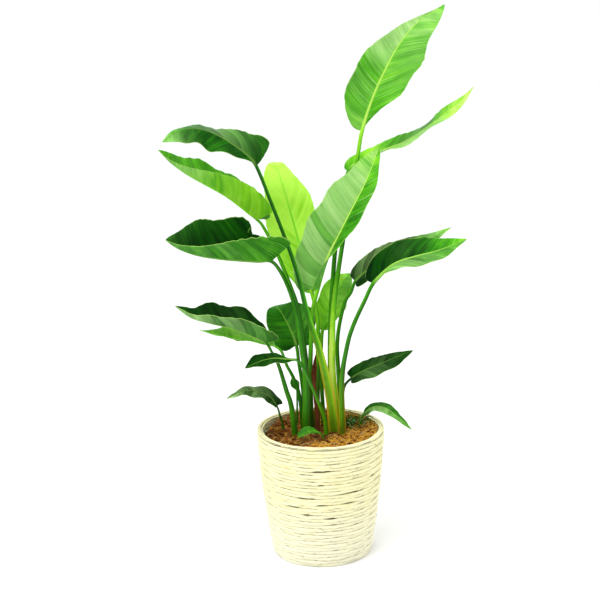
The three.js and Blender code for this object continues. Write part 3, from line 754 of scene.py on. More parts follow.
LEAVES = {
    "leaf_crown": dict(
        stalk=[[38, 24, FOOT_DEPTH], [38, 23, 330], [31, 20, 420], [31, 20, 500], [37, 24, 600],
               [58, 30, 736], [93, 16, 933]],
        rib=[[104, 0, 1000], [127, -8, 1072], [156, -12, 1136], [190, -8, 1194], [234, 8, 1240],
             [290, 35, 1273]],
        faces=[[-0.25, -1, 0.05], [-0.2, -1, 0.2], [-0.1, -0.8, 0.6]],
        fold=[[18, 8, 10], [30, 0, 15]],
        shape=[[0.3, 0.9, 2.1], [0.5, 1.4, 0.7]], width=[64, 64], curl=[10, -10], wave=[4, 3.5, 0.1],
        foot=12, neck=4.5,
        skin=[[0.58, 0.52, 0.54, 0.56, 0.6], [0.44, 0.54, 0.62, 0.58, 0.58]],
        bloom=[[0.2, 0.08, 0.1, 0.65, 0.75, 0.1], [0, 0, 0.1, 0.35, 0.45, 0.1]],
        stalk_tone=[0.6, 0.88, 0.88, 0.6, 0.4, 0.52, 0.76], gold=[0.9, 0.6, 0.3, 0.1, 0.1, 0.2],
        rib_tone=0.78, slope=[0.35, 1],
    ),
    "leaf_upper_right": dict(
        stalk=[[34, 39, FOOT_DEPTH], [28, 42, 431], [30, 50, 559], [42, 58, 716], [61, 62, 834]],
        rib=[[76, 62, 902], [112, 68, 928], [156, 66, 948], [204, 54, 968], [248, 38, 998],
             [320, 14, 1056], [354, 5, 1094]],
        faces=[[-0.5, -0.8, 0.7], [-0.3, -0.15, 1], [-0.2, -0.9, 0.5]],
        fold=[[20, 10, 10], [50, 5, 10]],
        shape=[[0.4, 0.4, 1.2], [0.36, 0.35, 1.1]], width=[34, 46], wave=[5, 2.5, 0.3],
        lobe=[0.03, 0.06], foot=12, neck=5,
        skin=[[0.54, 0.78, 0.46, 0.42, 0.76, 0.88], [0.54, 0.82, 0.68, 0.66, 0.82, 0.92]],
        bloom=[[0, 0, 0.08, 0.1, 0.1, 0.3], [0, 0.1, 0.6, 0.7, 0.2, 0.3]],
        stalk_tone=[0.34, 0.46, 0.46, 0.34, 0.42], gold=[0.5, 0.2, 0.1, 0.1], rib_tone=0.84,
        slope=[0.8, 0.8],
    ),
    "leaf_upper_left": dict(
        stalk=[[34, 8, FOOT_DEPTH], [26, 2, 360], [1, -14, 492], [-25, -24, 582], [-54, -30, 706],
               [-110, -35, 868]],
        rib=[[-134, -36, 931], [-150, -40, 954], [-183, -50, 982], [-223, -62, 1008],
             [-263, -78, 1022], [-301, -94, 1018], [-334, -108, 998]],
        faces=[[0.3, -0.9, 0.3], [0.1, -0.45, 0.87], [-0.2, -0.5, 0.9]],
        fold=[[70, -10, 0], [0, -16, 0]],
        shape=[[0.55, 0.8, 0.7], [0.2, 0.22, 0.9]], width=[50, 64], curl=[-10, -10], wave=[3, 3, 0.2],
        lobe=[0, -0.13], foot=16, neck=4,
        skin=[[0.24, 0.2, 0.22, 0.22, 0.22, 0.6], [0.22, 0.22, 0.24, 0.26, 0.36, 0.75]],
        bloom=[[0, 0, 0, 0, 0.05, 0.5], [0, 0.08, 0.18, 0.1, 0.08, 0.5]],
        stalk_tone=[0.5, 0.62, 0.56, 0.4, 0.28, 0.26, 0.3], gold=[0.9, 1, 0.7, 0.1, 0, 0, 0],
        rib_tone=0.28, slope=[0.7, 0.5], turn=-1.2,
    ),
    "leaf_left_folded": dict(
        stalk=[[-20, 40, FOOT_DEPTH], [-32, 38, 456], [-48, 36, 579], [-65, 36, 640],
               [-96, 38, 722], [-122, 40, 776]],
        rib=[[-136, 38, 796], [-174, 32, 830], [-209, 24, 858], [-247, 14, 882], [-292, 0, 911],
             [-326, -14, 940], [-351, -24, 970]],
        faces=[[0.3, -0.1, 1], [0.3, 0, 1], [0.3, 0.1, 1]], fold=[[68, 54, 45], [40, 42, 45]],
        shape=[[0.22, 0.25, 1.6], [0.42, 0.3, 0.8]], width=[66, 64], wave=[2, 3, 0.2],
        lobe=[0.04, 0.2], foot=9, neck=5,
        skin=[[0.76, 0.8, 0.72, 0.62, 0.56], [0.28, 0.42, 0.52, 0.52, 0.5]],
        bloom=[[0, 0, 0.1, 0.5, 0.3], [0.1, 0, 0, 0]],
        stalk_tone=[0.26, 0.36, 0.46, 0.62], gold=[0.2, 0.1, 0.1], rib_tone=0.8,
    ),
    "leaf_back_upright": dict(
        stalk=[[-10, 30, FOOT_DEPTH], [-4, 42, 430], [-1, 60, 536], [-6, 70, 579]],
        rib=[[-14, 76, 612], [-31, 84, 680], [-47, 87, 749], [-64, 88, 816], [-80, 94, 874],
             [-92, 118, 908], [-100, 155, 913]],
        faces=[[-0.2, -1, 0.2], [-0.1, -1, 0.3], [0, -0.3, 1]], fold=[[25, 8, 5], [20, 5, 5]],
        shape=[[0.48, 0.5, 0.8], [0.44, 0.5, 0.95]], width=[60, 60], wave=[3, 3, 0.2], foot=9, neck=5,
        skin=[[0.66, 0.84, 1, 1, 1], [0.76, 1, 1, 1, 1]],
        bloom=[[0, 0, 0, 0.1], [0, 0, 0, 0.1]],
        stalk_tone=[0.26, 0.36, 0.58, 0.7], gold=[0.3, 0.2], rib_tone=0.94, slope=[1.2, 1.2],
    ),
    "leaf_centre": dict(
        stalk=[[-22, 21, FOOT_DEPTH], [-22, 19, 400], [-20, 13, 476], [-14, -4, 581]],
        rib=[[-1, -16, 643], [21, -22, 714], [51, -25, 776], [83, -25, 837], [111, -15, 888],
             [132, 2, 936], [142, 20, 958]],
        faces=[[-0.5, -0.9, 0.1], [-0.45, -0.9, 0.2], [-0.3, -0.8, 0.5]],
        fold=[[20, 28, 20], [115, 36, 25]],
        shape=[[0.36, 0.35, 0.75], [0.42, 0.3, 0.75]], width=[76, 46], wave=[2.5, 4, 0.2],
        lobe=[0.12, 0.02], foot=9, neck=5,
        skin=[[0.5, 0.54, 0.58, 0.6, 0.66], [0.48, 0.48, 0.5, 0.52, 0.6]],
        bloom=[[0.3, 0.6, 0.55, 0.6, 0.7, 0.3], [0.1, 0, 0, 0]],
        stalk_tone=[0.26, 0.38, 0.56, 0.66], gold=[0.3, 0.2], rib_tone=0.86, slope=[0.35, 0.8],
    ),
    "leaf_left_middle": dict(
        stalk=[[-35, 4, FOOT_DEPTH], [-33, 4, 416], [-41, -3, 500], [-53, -11, 590],
               [-67, -18, 643], [-87, -28, 690]],
        rib=[[-107, -38, 715], [-138, -50, 719], [-179, -65, 725], [-219, -80, 732],
             [-268, -100, 745], [-308, -115, 764], [-333, -128, 786]],
        faces=[[0.1, -0.45, 1], [0.1, -0.28, 1], [0.3, -0.2, 1]], fold=[[75, 58, 45], [66, 62, 45]],
        shape=[[0.16, 0.13, 0.9], [0.45, 0.2, 0.65]], width=[94, 94], wave=[3, 2, 0.5],
        lobe=[0.02, -0.28], foot=12, neck=5,
        skin=[[0.42, 0.42, 0.44, 0.42, 0.42], [0.14, 0.12, 0.14, 0.2, 0.34]],
        bloom=[[0, 0.06, 0.1, 0.08, 0.15], [0, 0, 0, 0.05]],
        stalk_tone=[0.34, 0.42, 0.42, 0.38, 0.34], gold=[0.2, 0.1], rib_tone=0.5, slope=[0.9, 0.5],
    ),
    "leaf_right_rear": dict(
        stalk=[[58, 40, FOOT_DEPTH], [45, 36, 434], [45, 34, 516], [61, 32, 594], [76, 26, 622]],
        rib=[[86, 20, 649], [108, 10, 674], [142, 0, 700], [188, -10, 724], [244, -18, 748],
             [302, -25, 782]],
        faces=[[-0.5, -0.6, 0.7], [-0.3, -0.45, 0.9], [-0.3, -0.3, 1]],
        fold=[[10, 15, 20], [30, 5, 10]],
        shape=[[0.3, 0.3, 0.9], [0.36, 0.42, 0.9]], width=[46, 42], curl=[-20, -20], wave=[3, 3, 0.2],
        foot=8, neck=4.5,
        skin=[[0.06, 0.08, 0.1, 0.12, 0.46, 0.75], [0.08, 0.1, 0.08, 0.12, 0.46, 0.75]],
        bloom=[[0.1, 0.4, 0.3, 0.05, 0.3, 0.5], [0, 0.02, 0, 0, 0.3, 0.5]],
        stalk_tone=[0.3, 0.4, 0.44, 0.42], gold=[0.3, 0.1], rib_tone=0.36, slope=[0.6, 0.6],
    ),
    "leaf_right_front": dict(
        stalk=[[53, -4, FOOT_DEPTH], [51, -20, 415], [64, -36, 511], [79, -46, 564], [104, -56, 622]],
        rib=[[123, -62, 663], [154, -68, 698], [182, -76, 717], [222, -86, 731], [269, -96, 745],
             [327, -108, 771]],
        faces=[[-0.4, -0.7, 0.7], [-0.2, -0.75, 0.7], [-0.2, -0.5, 0.9]],
        fold=[[20, 5, 10], [75, 35, 15]],
        shape=[[0.38, 0.42, 0.85], [0.5, 0.6, 0.8]], width=[50, 42], curl=[-10, -10],
        wave=[3, 4, 0.2], lobe=[0.06, 0], foot=10, neck=4.8,
        skin=[[0.06, 0.1, 0.15, 0.28, 0.44, 0.7], [0.42, 0.44, 0.4, 0.42, 0.46, 0.56]],
        bloom=[[0, 0, 0.02, 0, 0, 0], [0.2, 0.3, 0.3, 0.3, 0.2, 0.2]],
        stalk_tone=[0.38, 0.44, 0.36, 0.36, 0.42], gold=[1, 0.7, 0.2, 0.1, 0.1], rib_tone=0.62,
        slope=[0.9, 1.3],
    ),
    "leaf_left_lower": dict(
        stalk=[[-56, -12, FOOT_DEPTH], [-67, -22, 357], [-79, -32, 407], [-95, -46, 472],
               [-109, -58, 508]],
        rib=[[-122, -70, 535], [-135, -76, 544], [-168, -86, 562], [-205, -95, 578],
             [-245, -104, 591], [-286, -114, 607], [-320, -125, 637]],
        faces=[[0.2, -0.1, 1], [0.2, 0, 1], [0.3, 0, 1]], fold=[[48, 38, 30], [40, 38, 30]],
        shape=[[0.32, 0.3, 0.95], [0.38, 0.3, 0.95]], width=[60, 64], wave=[3, 3, 0.2],
        lobe=[0.04, 0.03], foot=9, neck=5,
        skin=[[0.3, 0.28, 0.28, 0.28, 0.34], [0.04, 0.06, 0.06, 0.1, 0.24]],
        bloom=[[0.1, 0.15, 0.25, 0.4, 0.35], [0, 0.02, 0.01, 0]],
        stalk_tone=[0.36, 0.4, 0.36, 0.36], gold=[0.2, 0.1], rib_tone=0.52, slope=[0.6, 0.5],
    ),
    "leaf_left_pale": dict(
        stalk=[[-38, 32, FOOT_DEPTH], [-47, 32, 361], [-60, 30, 412], [-78, 24, 452], [-88, 16, 486]],
        rib=[[-103, 12, 501], [-124, 6, 509], [-160, 0, 520], [-206, -10, 532], [-240, -20, 543],
             [-276, -30, 555]],
        faces=[[0.1, -0.3, 1], [0.1, -0.4, 1], [0.2, -0.4, 1]], fold=[[35, 30, 20], [40, 35, 30]],
        shape=[[0.42, 0.6, 1.4], [0.42, 0.6, 1.6]], width=[32, 32], wave=[2, 3, 0.2], foot=7, neck=4,
        skin=[[0.52, 0.6, 0.62, 0.6], [0.52, 0.6, 0.62, 0.6]],
        bloom=[[0.3, 0.4, 0.3, 0.5], [0.3, 0.4, 0.3, 0.5]],
        stalk_tone=[0.26, 0.3, 0.38, 0.6], gold=[0.1, 0.1], rib_tone=0.74,
    ),
    "leaf_round_rear": dict(
        stalk=[[-32, 54, FOOT_DEPTH], [-40, 58, 378], [-48, 70, 440]],
        rib=[[-53, 78, 482], [-66, 79, 521], [-80, 82, 550], [-93, 90, 570], [-101, 110, 574]],
        faces=[[-0.1, -1, 0.1], [0, -0.9, 0.4], [0, -0.4, 1]], fold=[[20, 10, 5], [15, 5, 5]],
        shape=[[0.42, 0.28, 0.7], [0.42, 0.28, 0.7]], width=[54, 66], wave=[2, 2, 0.2],
        lobe=[0.12, 0.1], foot=7, neck=4.2,
        skin=[[0.32, 0.34, 0.36, 0.4], [0.32, 0.34, 0.36, 0.4]],
        bloom=[[0, 0, 0], [0, 0.05, 0]],
        stalk_tone=[0.26, 0.34, 0.44], gold=[0.1, 0.1], rib_tone=0.5,
    ),
    "leaf_left_small": dict(
        stalk=[[15, -14, FOOT_DEPTH], [11, -20, 326], [-3, -34, 372], [-19, -48, 418],
               [-39, -62, 470]],
        rib=[[-52, -68, 489], [-79, -78, 496], [-109, -86, 500], [-140, -92, 494], [-170, -96, 481]],
        faces=[[0.2, -0.6, 0.8], [0, -0.6, 0.8], [-0.2, -0.6, 0.8]],
        fold=[[25, 15, 15], [20, 10, 10]],
        shape=[[0.55, 0.7, 0.9], [0.68, 0.8, 0.8]], width=[20, 19], wave=[2, 2.5, 0.1], foot=8,
        neck=3.5,
        skin=[[0.16, 0.18, 0.18, 0.22], [0.16, 0.18, 0.18, 0.22]],
        bloom=[[0, 0.02, 0], [0, 0.02, 0]],
        stalk_tone=[0.44, 0.46, 0.4, 0.36], gold=[0.5, 0.3, 0.1], rib_tone=0.46, slope=[0.6, 0.6],
    ),
    "leaf_left_low": dict(
        stalk=[[-86, 28, FOOT_DEPTH], [-90, 26, 304], [-95, 22, 324]],
        rib=[[-102, 16, 352], [-118, 10, 378], [-145, 0, 394], [-180, -10, 399], [-219, -20, 385]],
        faces=[[0.6, -0.5, 0.5], [0.1, -0.35, 0.9], [-0.3, -0.5, 0.9]],
        fold=[[10, -5, 5], [10, 0, 5]],
        shape=[[0.4, 0.5, 0.9], [0.26, 0.2, 0.9]], width=[18, 28], curl=[-20, -20], wave=[2, 3, 0.1],
        lobe=[0.04, 0.1], foot=5, neck=2.6,
        skin=[[0.1, 0.12, 0.16, 0.26], [0.08, 0.1, 0.16, 0.26]],
        bloom=[[0, 0.15, 0.45, 0.7], [0, 0.15, 0.5, 0.7]],
        stalk_tone=[0.34, 0.34, 0.24], gold=[0.3, 0.1], rib_tone=0.36,
    ),
    "leaf_right_low": dict(
        stalk=[[93, 46, FOOT_DEPTH], [98, 42, 302]],
        rib=[[105, 35, 322], [125, 18, 344], [154, -5, 349], [182, -30, 334], [212, -55, 311]],
        faces=[[-0.5, -0.5, 0.6], [0.1, -0.5, 0.8], [0.5, -0.5, 0.8]], fold=[[15, 5, 5], [25, 15, 5]],
        shape=[[0.4, 0.5, 0.9], [0.4, 0.5, 0.9]], width=[16, 17], curl=[-20, -20], wave=[2, 2.5, 0.1],
        lobe=[0.03, 0.03], foot=4.5, neck=2.6,
        skin=[[0.26, 0.3, 0.32, 0.34, 0.5], [0.3, 0.4, 0.46, 0.46, 0.54]],
        bloom=[[0, 0.05, 0.05, 0.1], [0.1, 0.35, 0.4, 0.2]],
        stalk_tone=[0.36, 0.46, 0.48], gold=[0.3, 0.2], rib_tone=0.52,
    ),
    "leaf_right_small": dict(
        stalk=[[59, 20, FOOT_DEPTH], [53, 17, 336], [55, 21, 378], [60, 28, 397]],
        rib=[[74, 20, 415], [95, 12, 432], [130, 0, 452], [168, -12, 471], [216, -25, 495]],
        faces=[[-0.4, -0.6, 0.7], [-0.2, -0.5, 0.85], [-0.2, -0.5, 0.85]],
        fold=[[15, 5, 10], [30, 15, 15]],
        shape=[[0.3, 0.25, 0.9], [0.45, 0.4, 0.7]], width=[28, 36], curl=[-10, -20], wave=[2, 3, 0.1],
        lobe=[0.05, 0.05], foot=6, neck=3.4,
        skin=[[0.06, 0.08, 0.08, 0.1, 0.2], [0.06, 0.08, 0.1, 0.12, 0.2]],
        bloom=[[0, 0.04, 0.06, 0], [0.02, 0.1, 0.05, 0]],
        stalk_tone=[0.24, 0.2, 0.2], rib_tone=0.28, slope=[0.8, 0.8],
    ),
    "leaf_rear_pale": dict(
        stalk=[[10, 54, FOOT_DEPTH], [5, 68, 416], [7, 84, 486]],
        rib=[[10, 90, 516], [18, 91, 549], [33, 89, 588], [50, 84, 622], [64, 85, 642],
             [76, 101, 652]],
        faces=[[-0.1, -1, 0], [0, -1, 0.2], [0, -0.5, 1]], fold=[[15, 5, 5], [15, 5, 5]],
        shape=[[0.5, 0.45, 0.7], [0.5, 0.45, 0.7]], width=[34, 36], wave=[2, 2.5, 0.1], foot=7,
        neck=4.2,
        skin=[[0.62, 0.72, 0.8, 0.8], [0.6, 0.7, 0.66, 0.6]],
        bloom=[[0, 0.1, 0.3], [0, 0.2, 0.5]],
        stalk_tone=[0.3, 0.46, 0.66], gold=[0.4, 0.2], rib_tone=0.84, slope=[0.8, 0.8],
    ),
    "leaf_ground": dict(
        stalk=[[8, -36, FOOT_DEPTH], [6, -40, 290]],
        rib=[[-2, -44, 304], [-16, -50, 312], [-34, -58, 312], [-54, -66, 302]],
        faces=[[0, -0.6, 0.8], [0, -0.7, 0.8], [0, -0.6, 0.8]], fold=[[15, 10, 10], [15, 10, 10]],
        shape=[[0.5, 0.5, 0.8], [0.62, 0.9, 0.55]], width=[7, 13], wave=[1, 2, 0.1], foot=4, neck=2.5,
        skin=[[0.42, 0.46, 0.46], [0.4, 0.44, 0.44]],
        bloom=[[0, 0.05], [0, 0.05]],
        stalk_tone=[0.42, 0.46], gold=[0.1, 0.1], rib_tone=0.56,
    ),
    "leaf_sprout": dict(
        stalk=[[-56, 62, FOOT_DEPTH], [-54, 64, 351]],
        rib=[[-54, 66, 375], [-58, 66, 390], [-66, 64, 406]],
        faces=[[-0.3, -1, 0.2], [-0.3, -1, 0.3], [-0.3, -0.9, 0.5]],
        fold=[[15, 10, 10], [15, 10, 10]],
        shape=[[0.5, 0.5, 0.8], [0.5, 0.5, 0.8]], width=[11, 11], wave=[1, 2, 0.1], foot=4, neck=2.4,
        skin=[[0.36, 0.4, 0.46], [0.36, 0.4, 0.46]],
        stalk_tone=[0.36, 0.42], gold=[0.1, 0.1], rib_tone=0.5,
    ),
}

# ---------------------------------------------------------------- leaves: blades and stalks
# The path of stalk and midrib is a smooth curve through a leaf's points. The blade is a grid laid
# on it, folded, curled and waved, and the stalk is another, rolled into a tube.

SHEATH_POWER = 2.5
BLADE_THICKNESS = 0.0009
HALF_STEPS = 17
ROW_STEP = 0.0019
FEWEST_ROWS = 40
MOST_ROWS = 190
ROD_SIDES = 14
ROD_STEP = 0.006
ROD_SHARE = 0.997
NEARBY = 0.002
VEIN_GAP = 0.0085
FEWEST_VEINS = 22
VEIN_CURVE = 3.0
VEIN_RELIEF = 0.00018
RUFFLES = 26
RUFFLE_SPAN = 0.3
RUFFLE_WIDER = 0.03
MARGIN_RUFFLE = 0.0016
THINNEST_HALF = 0.0003
SCALLOP = 0.06
LOBE_SHARE = 0.25
# The midrib's half width at its base and added at its tip, as shares of the stalk's neck.
RIB_TAPER, RIB_TIP = 0.72, 0.08
RIB_BLEND = 0.1
RIB_FACE, RIB_FACE_RISE = 0.0003, 0.0002
RIB_THIN, RIB_THICK = 0.0009, 0.0034
USUAL_NECK = 5
# The stalk's section: its depth, and, as shares of that, where its edges are, the hollow's floor
# and how far it rises to the edges, and the keel's upper end and depth.
STALK_DEPTH, SHEATH_FLATTER = 0.85, 0.3
SECTION_EDGE = 0.375
HOLLOW_FLOOR, HOLLOW_RISE = 0.25, 0.3
KEEL_TOP, KEEL_DEPTH = 0.2, 1.1


def run_at(run, t):
    """The value at t, from 0 to 1, along evenly spaced values."""
    place = min(0.9999, max(0, t)) * (len(run) - 1)
    i = int(place)
    return run[i] + (run[i + 1] - run[i]) * (place - i)


def smooth_path(points):
    """Distances and places along a smooth curve through the points."""
    ends = [2 * points[0] - points[1], *points, 2 * points[-1] - points[-2]]
    places = [points[0]]
    for before, start, stop, after in zip(ends, ends[1:], ends[2:], ends[3:]):
        out = start + (stop - before) / 6
        back = stop - (after - start) / 6
        places += geometry.interpolate_bezier(start, out, back, stop, PATH_STEPS + 1)[1:]
    distances = [0]
    for here, there in zip(places, places[1:]):
        distances.append(distances[-1] + (there - here).length)
    return distances, places


def place_at(path, distance):
    distances, places = path
    i = min(max(1, bisect.bisect_left(distances, distance)), len(places) - 1)
    share = (distance - distances[i - 1]) / (distances[i] - distances[i - 1])
    return places[i - 1].lerp(places[i], share)


def axes_at(path, distance, facing):
    """Along the path, up from the blade, and across, at a distance from the foot."""
    near = max(NEARBY, min(path[0][-1] - NEARBY, distance))
    along = (place_at(path, near + NEARBY) - place_at(path, near - NEARBY)).normalized()
    up = (facing - along * facing.dot(along)).normalized()
    return along, up, along.cross(up)


def through(values, t):
    """A smooth run through values given at the start, middle and end."""
    start, middle, end = values
    s = 1 - t
    return start * (s * (1 - 2 * t)) + middle * (4 * t * s) + end * (t * (2 * t - 1))


def outline(shape, t):
    """Half width of a blade, from 0 to 1, at t from base to tip."""
    widest, blunt_base, sharp_tip = shape
    bulge = math.log(0.5) / math.log(widest)
    swell = math.sin(math.pi * min(0.9996, max(0.0004, t)) ** bulge)
    return max(0, swell) ** (blunt_base * (1 - t) + sharp_tip * t)


def rib_half(leaf, t):
    return leaf["neck"] * MM * (RIB_TAPER * (1 - t) ** 1.4 + RIB_TIP)


def mark_points(piece, name, values):
    """Keeps three numbers with each point of a piece, for its material to read."""
    piece.data.attributes.new(name, "FLOAT_VECTOR", "POINT").data.foreach_set("vector", values)


def lay_blade(leaf, path, base, length, seed):
    """The thin blade: a grid laid on the path, folded, curled, waved and ribbed with veins."""
    rows = int(min(MOST_ROWS, max(FEWEST_ROWS, length / ROW_STEP)))
    blade = lay_grid(2 * HALF_STEPS, rows)
    faces = [Vector(f).normalized() for f in leaf["faces"]]
    height, count, shift = leaf["wave"]
    gap = min(VEIN_GAP, length / FEWEST_VEINS)
    marks = []
    looks = []
    for vertex in blade.data.vertices:
        u = 2 * vertex.co.x
        even = vertex.co.y + 0.5
        # The rows lie closer together near the base and the tip.
        t = 0.002 + 0.996 * (0.75 * even + 0.125 * (1 - math.cos(math.pi * even)))
        side = 0 if u < 0 else 1
        sign = math.copysign(1, u)
        reach = abs(u)
        along, up, across = axes_at(path, base + length * t, through(faces, t))
        share = outline(leaf["shape"][side], t)
        ruffle = noise.noise(Vector((RUFFLES * length * t / RUFFLE_SPAN, 5 * side, seed)))
        scallop = 1 - SCALLOP * math.sin(math.tau * (count * t + shift + 0.6 * side))
        half = max(THINNEST_HALF, leaf["width"][side] * MM * share * scallop)
        out = half * reach * (1 + RUFFLE_WIDER * ruffle * reach)
        angle = math.radians(through(leaf["fold"][side], t) + leaf["curl"][side] * reach / 2)
        flat = min(out, rib_half(leaf, t))
        free = out - flat
        wave = math.sin(math.tau * (count * t + shift + 0.3 * side))
        ripple = height * MM * reach ** 2 * wave * min(1, 1.3 * share)
        # The veins lean, bend towards the margin, and are a little unevenly spaced.
        vein = (length * t - leaf["slope"][side] * out - VEIN_CURVE * out * out) / gap
        vein += 0.3 * math.sin(1.13 * vein + seed) + 0.2 * math.sin(2.71 * vein + 2 * side)
        # Their relief fades at the midrib, the margin and the blade's ends.
        calm = min(1, 5 * reach) * min(1, 0.25 + 4 * (1 - reach)) * min(1, 2 * share)
        ridge = VEIN_RELIEF * calm * math.cos(math.tau * vein)
        ridge += MARGIN_RUFFLE * ruffle * reach ** 4 * share
        near_base = max(0, 1 - t / LOBE_SHARE) ** 1.5
        back = leaf["lobe"][side] * length * near_base * share * reach ** 1.5
        normal = up * math.cos(angle) - across * (sign * math.sin(angle))
        vertex.co = (
            place_at(path, base + length * t)
            + across * (sign * (flat + free * math.cos(angle)))
            + up * (free * math.sin(angle) + ripple)
            + normal * ridge
            - along * back
        )
        marks += [u, vein, t]
        # Each half's tone is its own colour with painted shade and light; its second mark is pale wax
        # with painted sheen.
        looks += [run_at(leaf["skin"][side], t), run_at(leaf["bloom"][side], t), 0]
    mark_points(blade, "place", marks)
    mark_points(blade, "look", looks)
    wall = blade.modifiers.new("thickness", "SOLIDIFY")
    wall.thickness = BLADE_THICKNESS
    wall.offset = -1
    wall.material_offset = 1
    bpy.ops.object.modifier_apply(modifier=wall.name)
    bpy.ops.object.shade_smooth_by_angle(angle=math.radians(50))
    return blade


def lay_rod(leaf, path, base, length):
    """The stalk and midrib: a grid rolled into a tube along the path, and closed at both ends."""
    total = base + length
    rod = lay_grid(ROD_SIDES, int(total / ROD_STEP))
    faces = [Vector(f).normalized() for f in leaf["faces"]]
    neck_to_rib = [leaf["stalk_tone"][-1], leaf["rib_tone"], leaf["rib_tone"]]
    marks = []
    looks = []
    for vertex in rod.data.vertices:
        turn = math.tau * (vertex.co.x + 0.5)
        distance = total * (vertex.co.y + 0.5) * ROD_SHARE
        s = min(1, distance / base)
        t = max(0, (distance - base) / length)
        facing = Vector((0, -1, 0)).lerp(faces[0], s) if t == 0 else through(faces, t)
        along, up, across = axes_at(path, distance, facing)
        broad = (1 - s) ** SHEATH_POWER
        half = (leaf["neck"] + (leaf["foot"] - leaf["neck"]) * broad) * MM
        depth = half * (STALK_DEPTH - SHEATH_FLATTER * broad)
        x = math.cos(turn)
        edge = min(1, 2.5 * abs(math.sin(turn)))
        if math.sin(turn) > 0:
            stalk_z = SECTION_EDGE + edge * (HOLLOW_FLOOR + HOLLOW_RISE * x * x - SECTION_EDGE)
            rib_z = RIB_FACE + RIB_FACE_RISE * x * x
        else:
            keel = KEEL_DEPTH * math.sqrt(max(0, 1 - x * x))
            stalk_z = SECTION_EDGE + edge * (KEEL_TOP - keel - SECTION_EDGE)
            rib_z = -edge * (RIB_THIN + RIB_THICK * leaf["neck"] / USUAL_NECK * (1 - t) ** 1.2)
        blend = min(1, t / RIB_BLEND)
        blend *= blend * (3 - 2 * blend)
        wide = half + (rib_half(leaf, t) - half) * blend
        vertex.co = (
            place_at(path, distance)
            + across * (wide * x)
            + up * (depth * stalk_z * (1 - blend) + rib_z * blend)
        )
        marks += [x if math.sin(turn) > 0 else 2 - x, distance, s + t]
        if t == 0:
            looks += [run_at(leaf["stalk_tone"], s), run_at(leaf["gold"], s), leaf["turn"]]
        else:
            looks += [run_at(neck_to_rib, min(1, 5 * t)), 0, 1]
    mark_points(rod, "place", marks)
    mark_points(rod, "look", looks)
    weld_and_close()
    bpy.ops.object.shade_smooth_by_angle(angle=math.radians(60))
    return rod


GREENS = [
    (0.0, (0.002, 0.022, 0.003)), (0.2, (0.006, 0.070, 0.003)), (0.4, (0.020, 0.19, 0.003)),
    (0.6, (0.080, 0.42, 0.006)), (0.8, (0.28, 0.69, 0.020)), (1.0, (0.72, 0.97, 0.15)),
]
PALE_WAX_AND_SHEEN = (0.42, 0.67, 0.24)
SHINE_THROUGH = (0.54, 0.92, 0.07)
PALE_VEIN = (0.62, 0.84, 0.36)
PALE_MARGIN = (0.45, 0.70, 0.16)
GOLDEN_MARGIN = (0.62, 0.36, 0.012)
CREAM_RIB = (0.64, 0.84, 0.20)
# Brown for spots low on the stalks, laid on also as painted shade near the soil.
BROWN_FLECK_AND_SHADE = (0.07, 0.032, 0.008)


def marks_of(start, name):
    """The three numbers that each point of the piece keeps under this name."""
    marks = start.node("Attribute", {"attribute_name": name}, {}, "Vector")
    first = start.node("SeparateXYZ", {}, {"Vector": marks}, "X")
    return first, first.output("Y"), first.output("Z")


def show_lit(skin, share):
    """Shows a skin through which a share of the light shines from behind."""
    glow = skin.node("BsdfTranslucent", {}, {"Color": SHINE_THROUGH})
    show(skin.node("MixShader", {}, {0: share, 1: skin, 2: glow}))


def skin_finish(name, lift, wax, gloss, roughness, glow):
    """A blade's face: its tone, streaked between the veins, with pale wax, painted sheen in pale
    panels, and a thin pale margin.
    """
    finish, start = new_finish(name)
    across, vein, share = marks_of(start, "place")
    tone, bloom, _ = marks_of(start, "look")
    reach = start.maths("ABSOLUTE", across)
    streak_place = start.node("CombineXYZ", {}, {"X": vein * 0.62, "Y": across * 0.8, "Z": share * 2.0})
    streaks = cloudy(streak_place, 1.0, 4.0)
    clouds = cloudy(start.node("TexCoord", {}, {}, "Object"), 13.0, 3.0)
    main = start.maths("COSINE", vein * math.tau) * 0.5 + 0.5
    thread = start.maths("SINE", vein * (math.tau * 4)) * 0.5 + 0.5
    lines = (main ** 16.0) * ((clouds - 0.42).clamp() * 1.8 + 0.12) + (thread ** 6.0) * 0.04
    half = start.maths("GREATER_THAN", across, 0.0)
    band = start.node("TexWhiteNoise", {"noise_dimensions": "1D"}, {
        "W": start.maths("FLOOR", vein * 0.34) + half * 57.3}, "Value")
    middle = (1 - reach).clamp() ** 16.0
    mottle = (streaks - 0.5) * 0.48 + (clouds - 0.5) * 0.34 + (band - 0.5) * 0.09
    shade = tone + lift + mottle + middle * 0.10
    # Painted sheen: pale panels between the veins, as strong as each half's mark asks, mixed in with
    # the pale wax.
    panels = (1.15 - (main ** 3.0) * 0.4) * (0.3 + streaks) * (0.35 + band * 1.3)
    waxed_and_sheened = start.mix((bloom * panels + wax).clamp(), tinted(shade, GREENS), PALE_WAX_AND_SHEEN)
    faint = (tone * 1.6).clamp() ** 2.0
    veined = start.mix((lines * faint).clamp(), waxed_and_sheened, PALE_VEIN)
    margin = start.node("MapRange", {}, {"Value": reach, "From Min": 0.975, "From Max": 0.995})
    colour = start.mix(margin * 0.55, veined, PALE_MARGIN)
    relief = relief_of(main * 0.5 + thread * 0.2 + streaks * 0.8, 0.35, 0.0006)
    skin = coat(start, colour, roughness + (clouds - 0.5) * 0.2, gloss, relief)
    show_lit(skin, (shade.clamp() ** 1.3) * glow)
    return finish


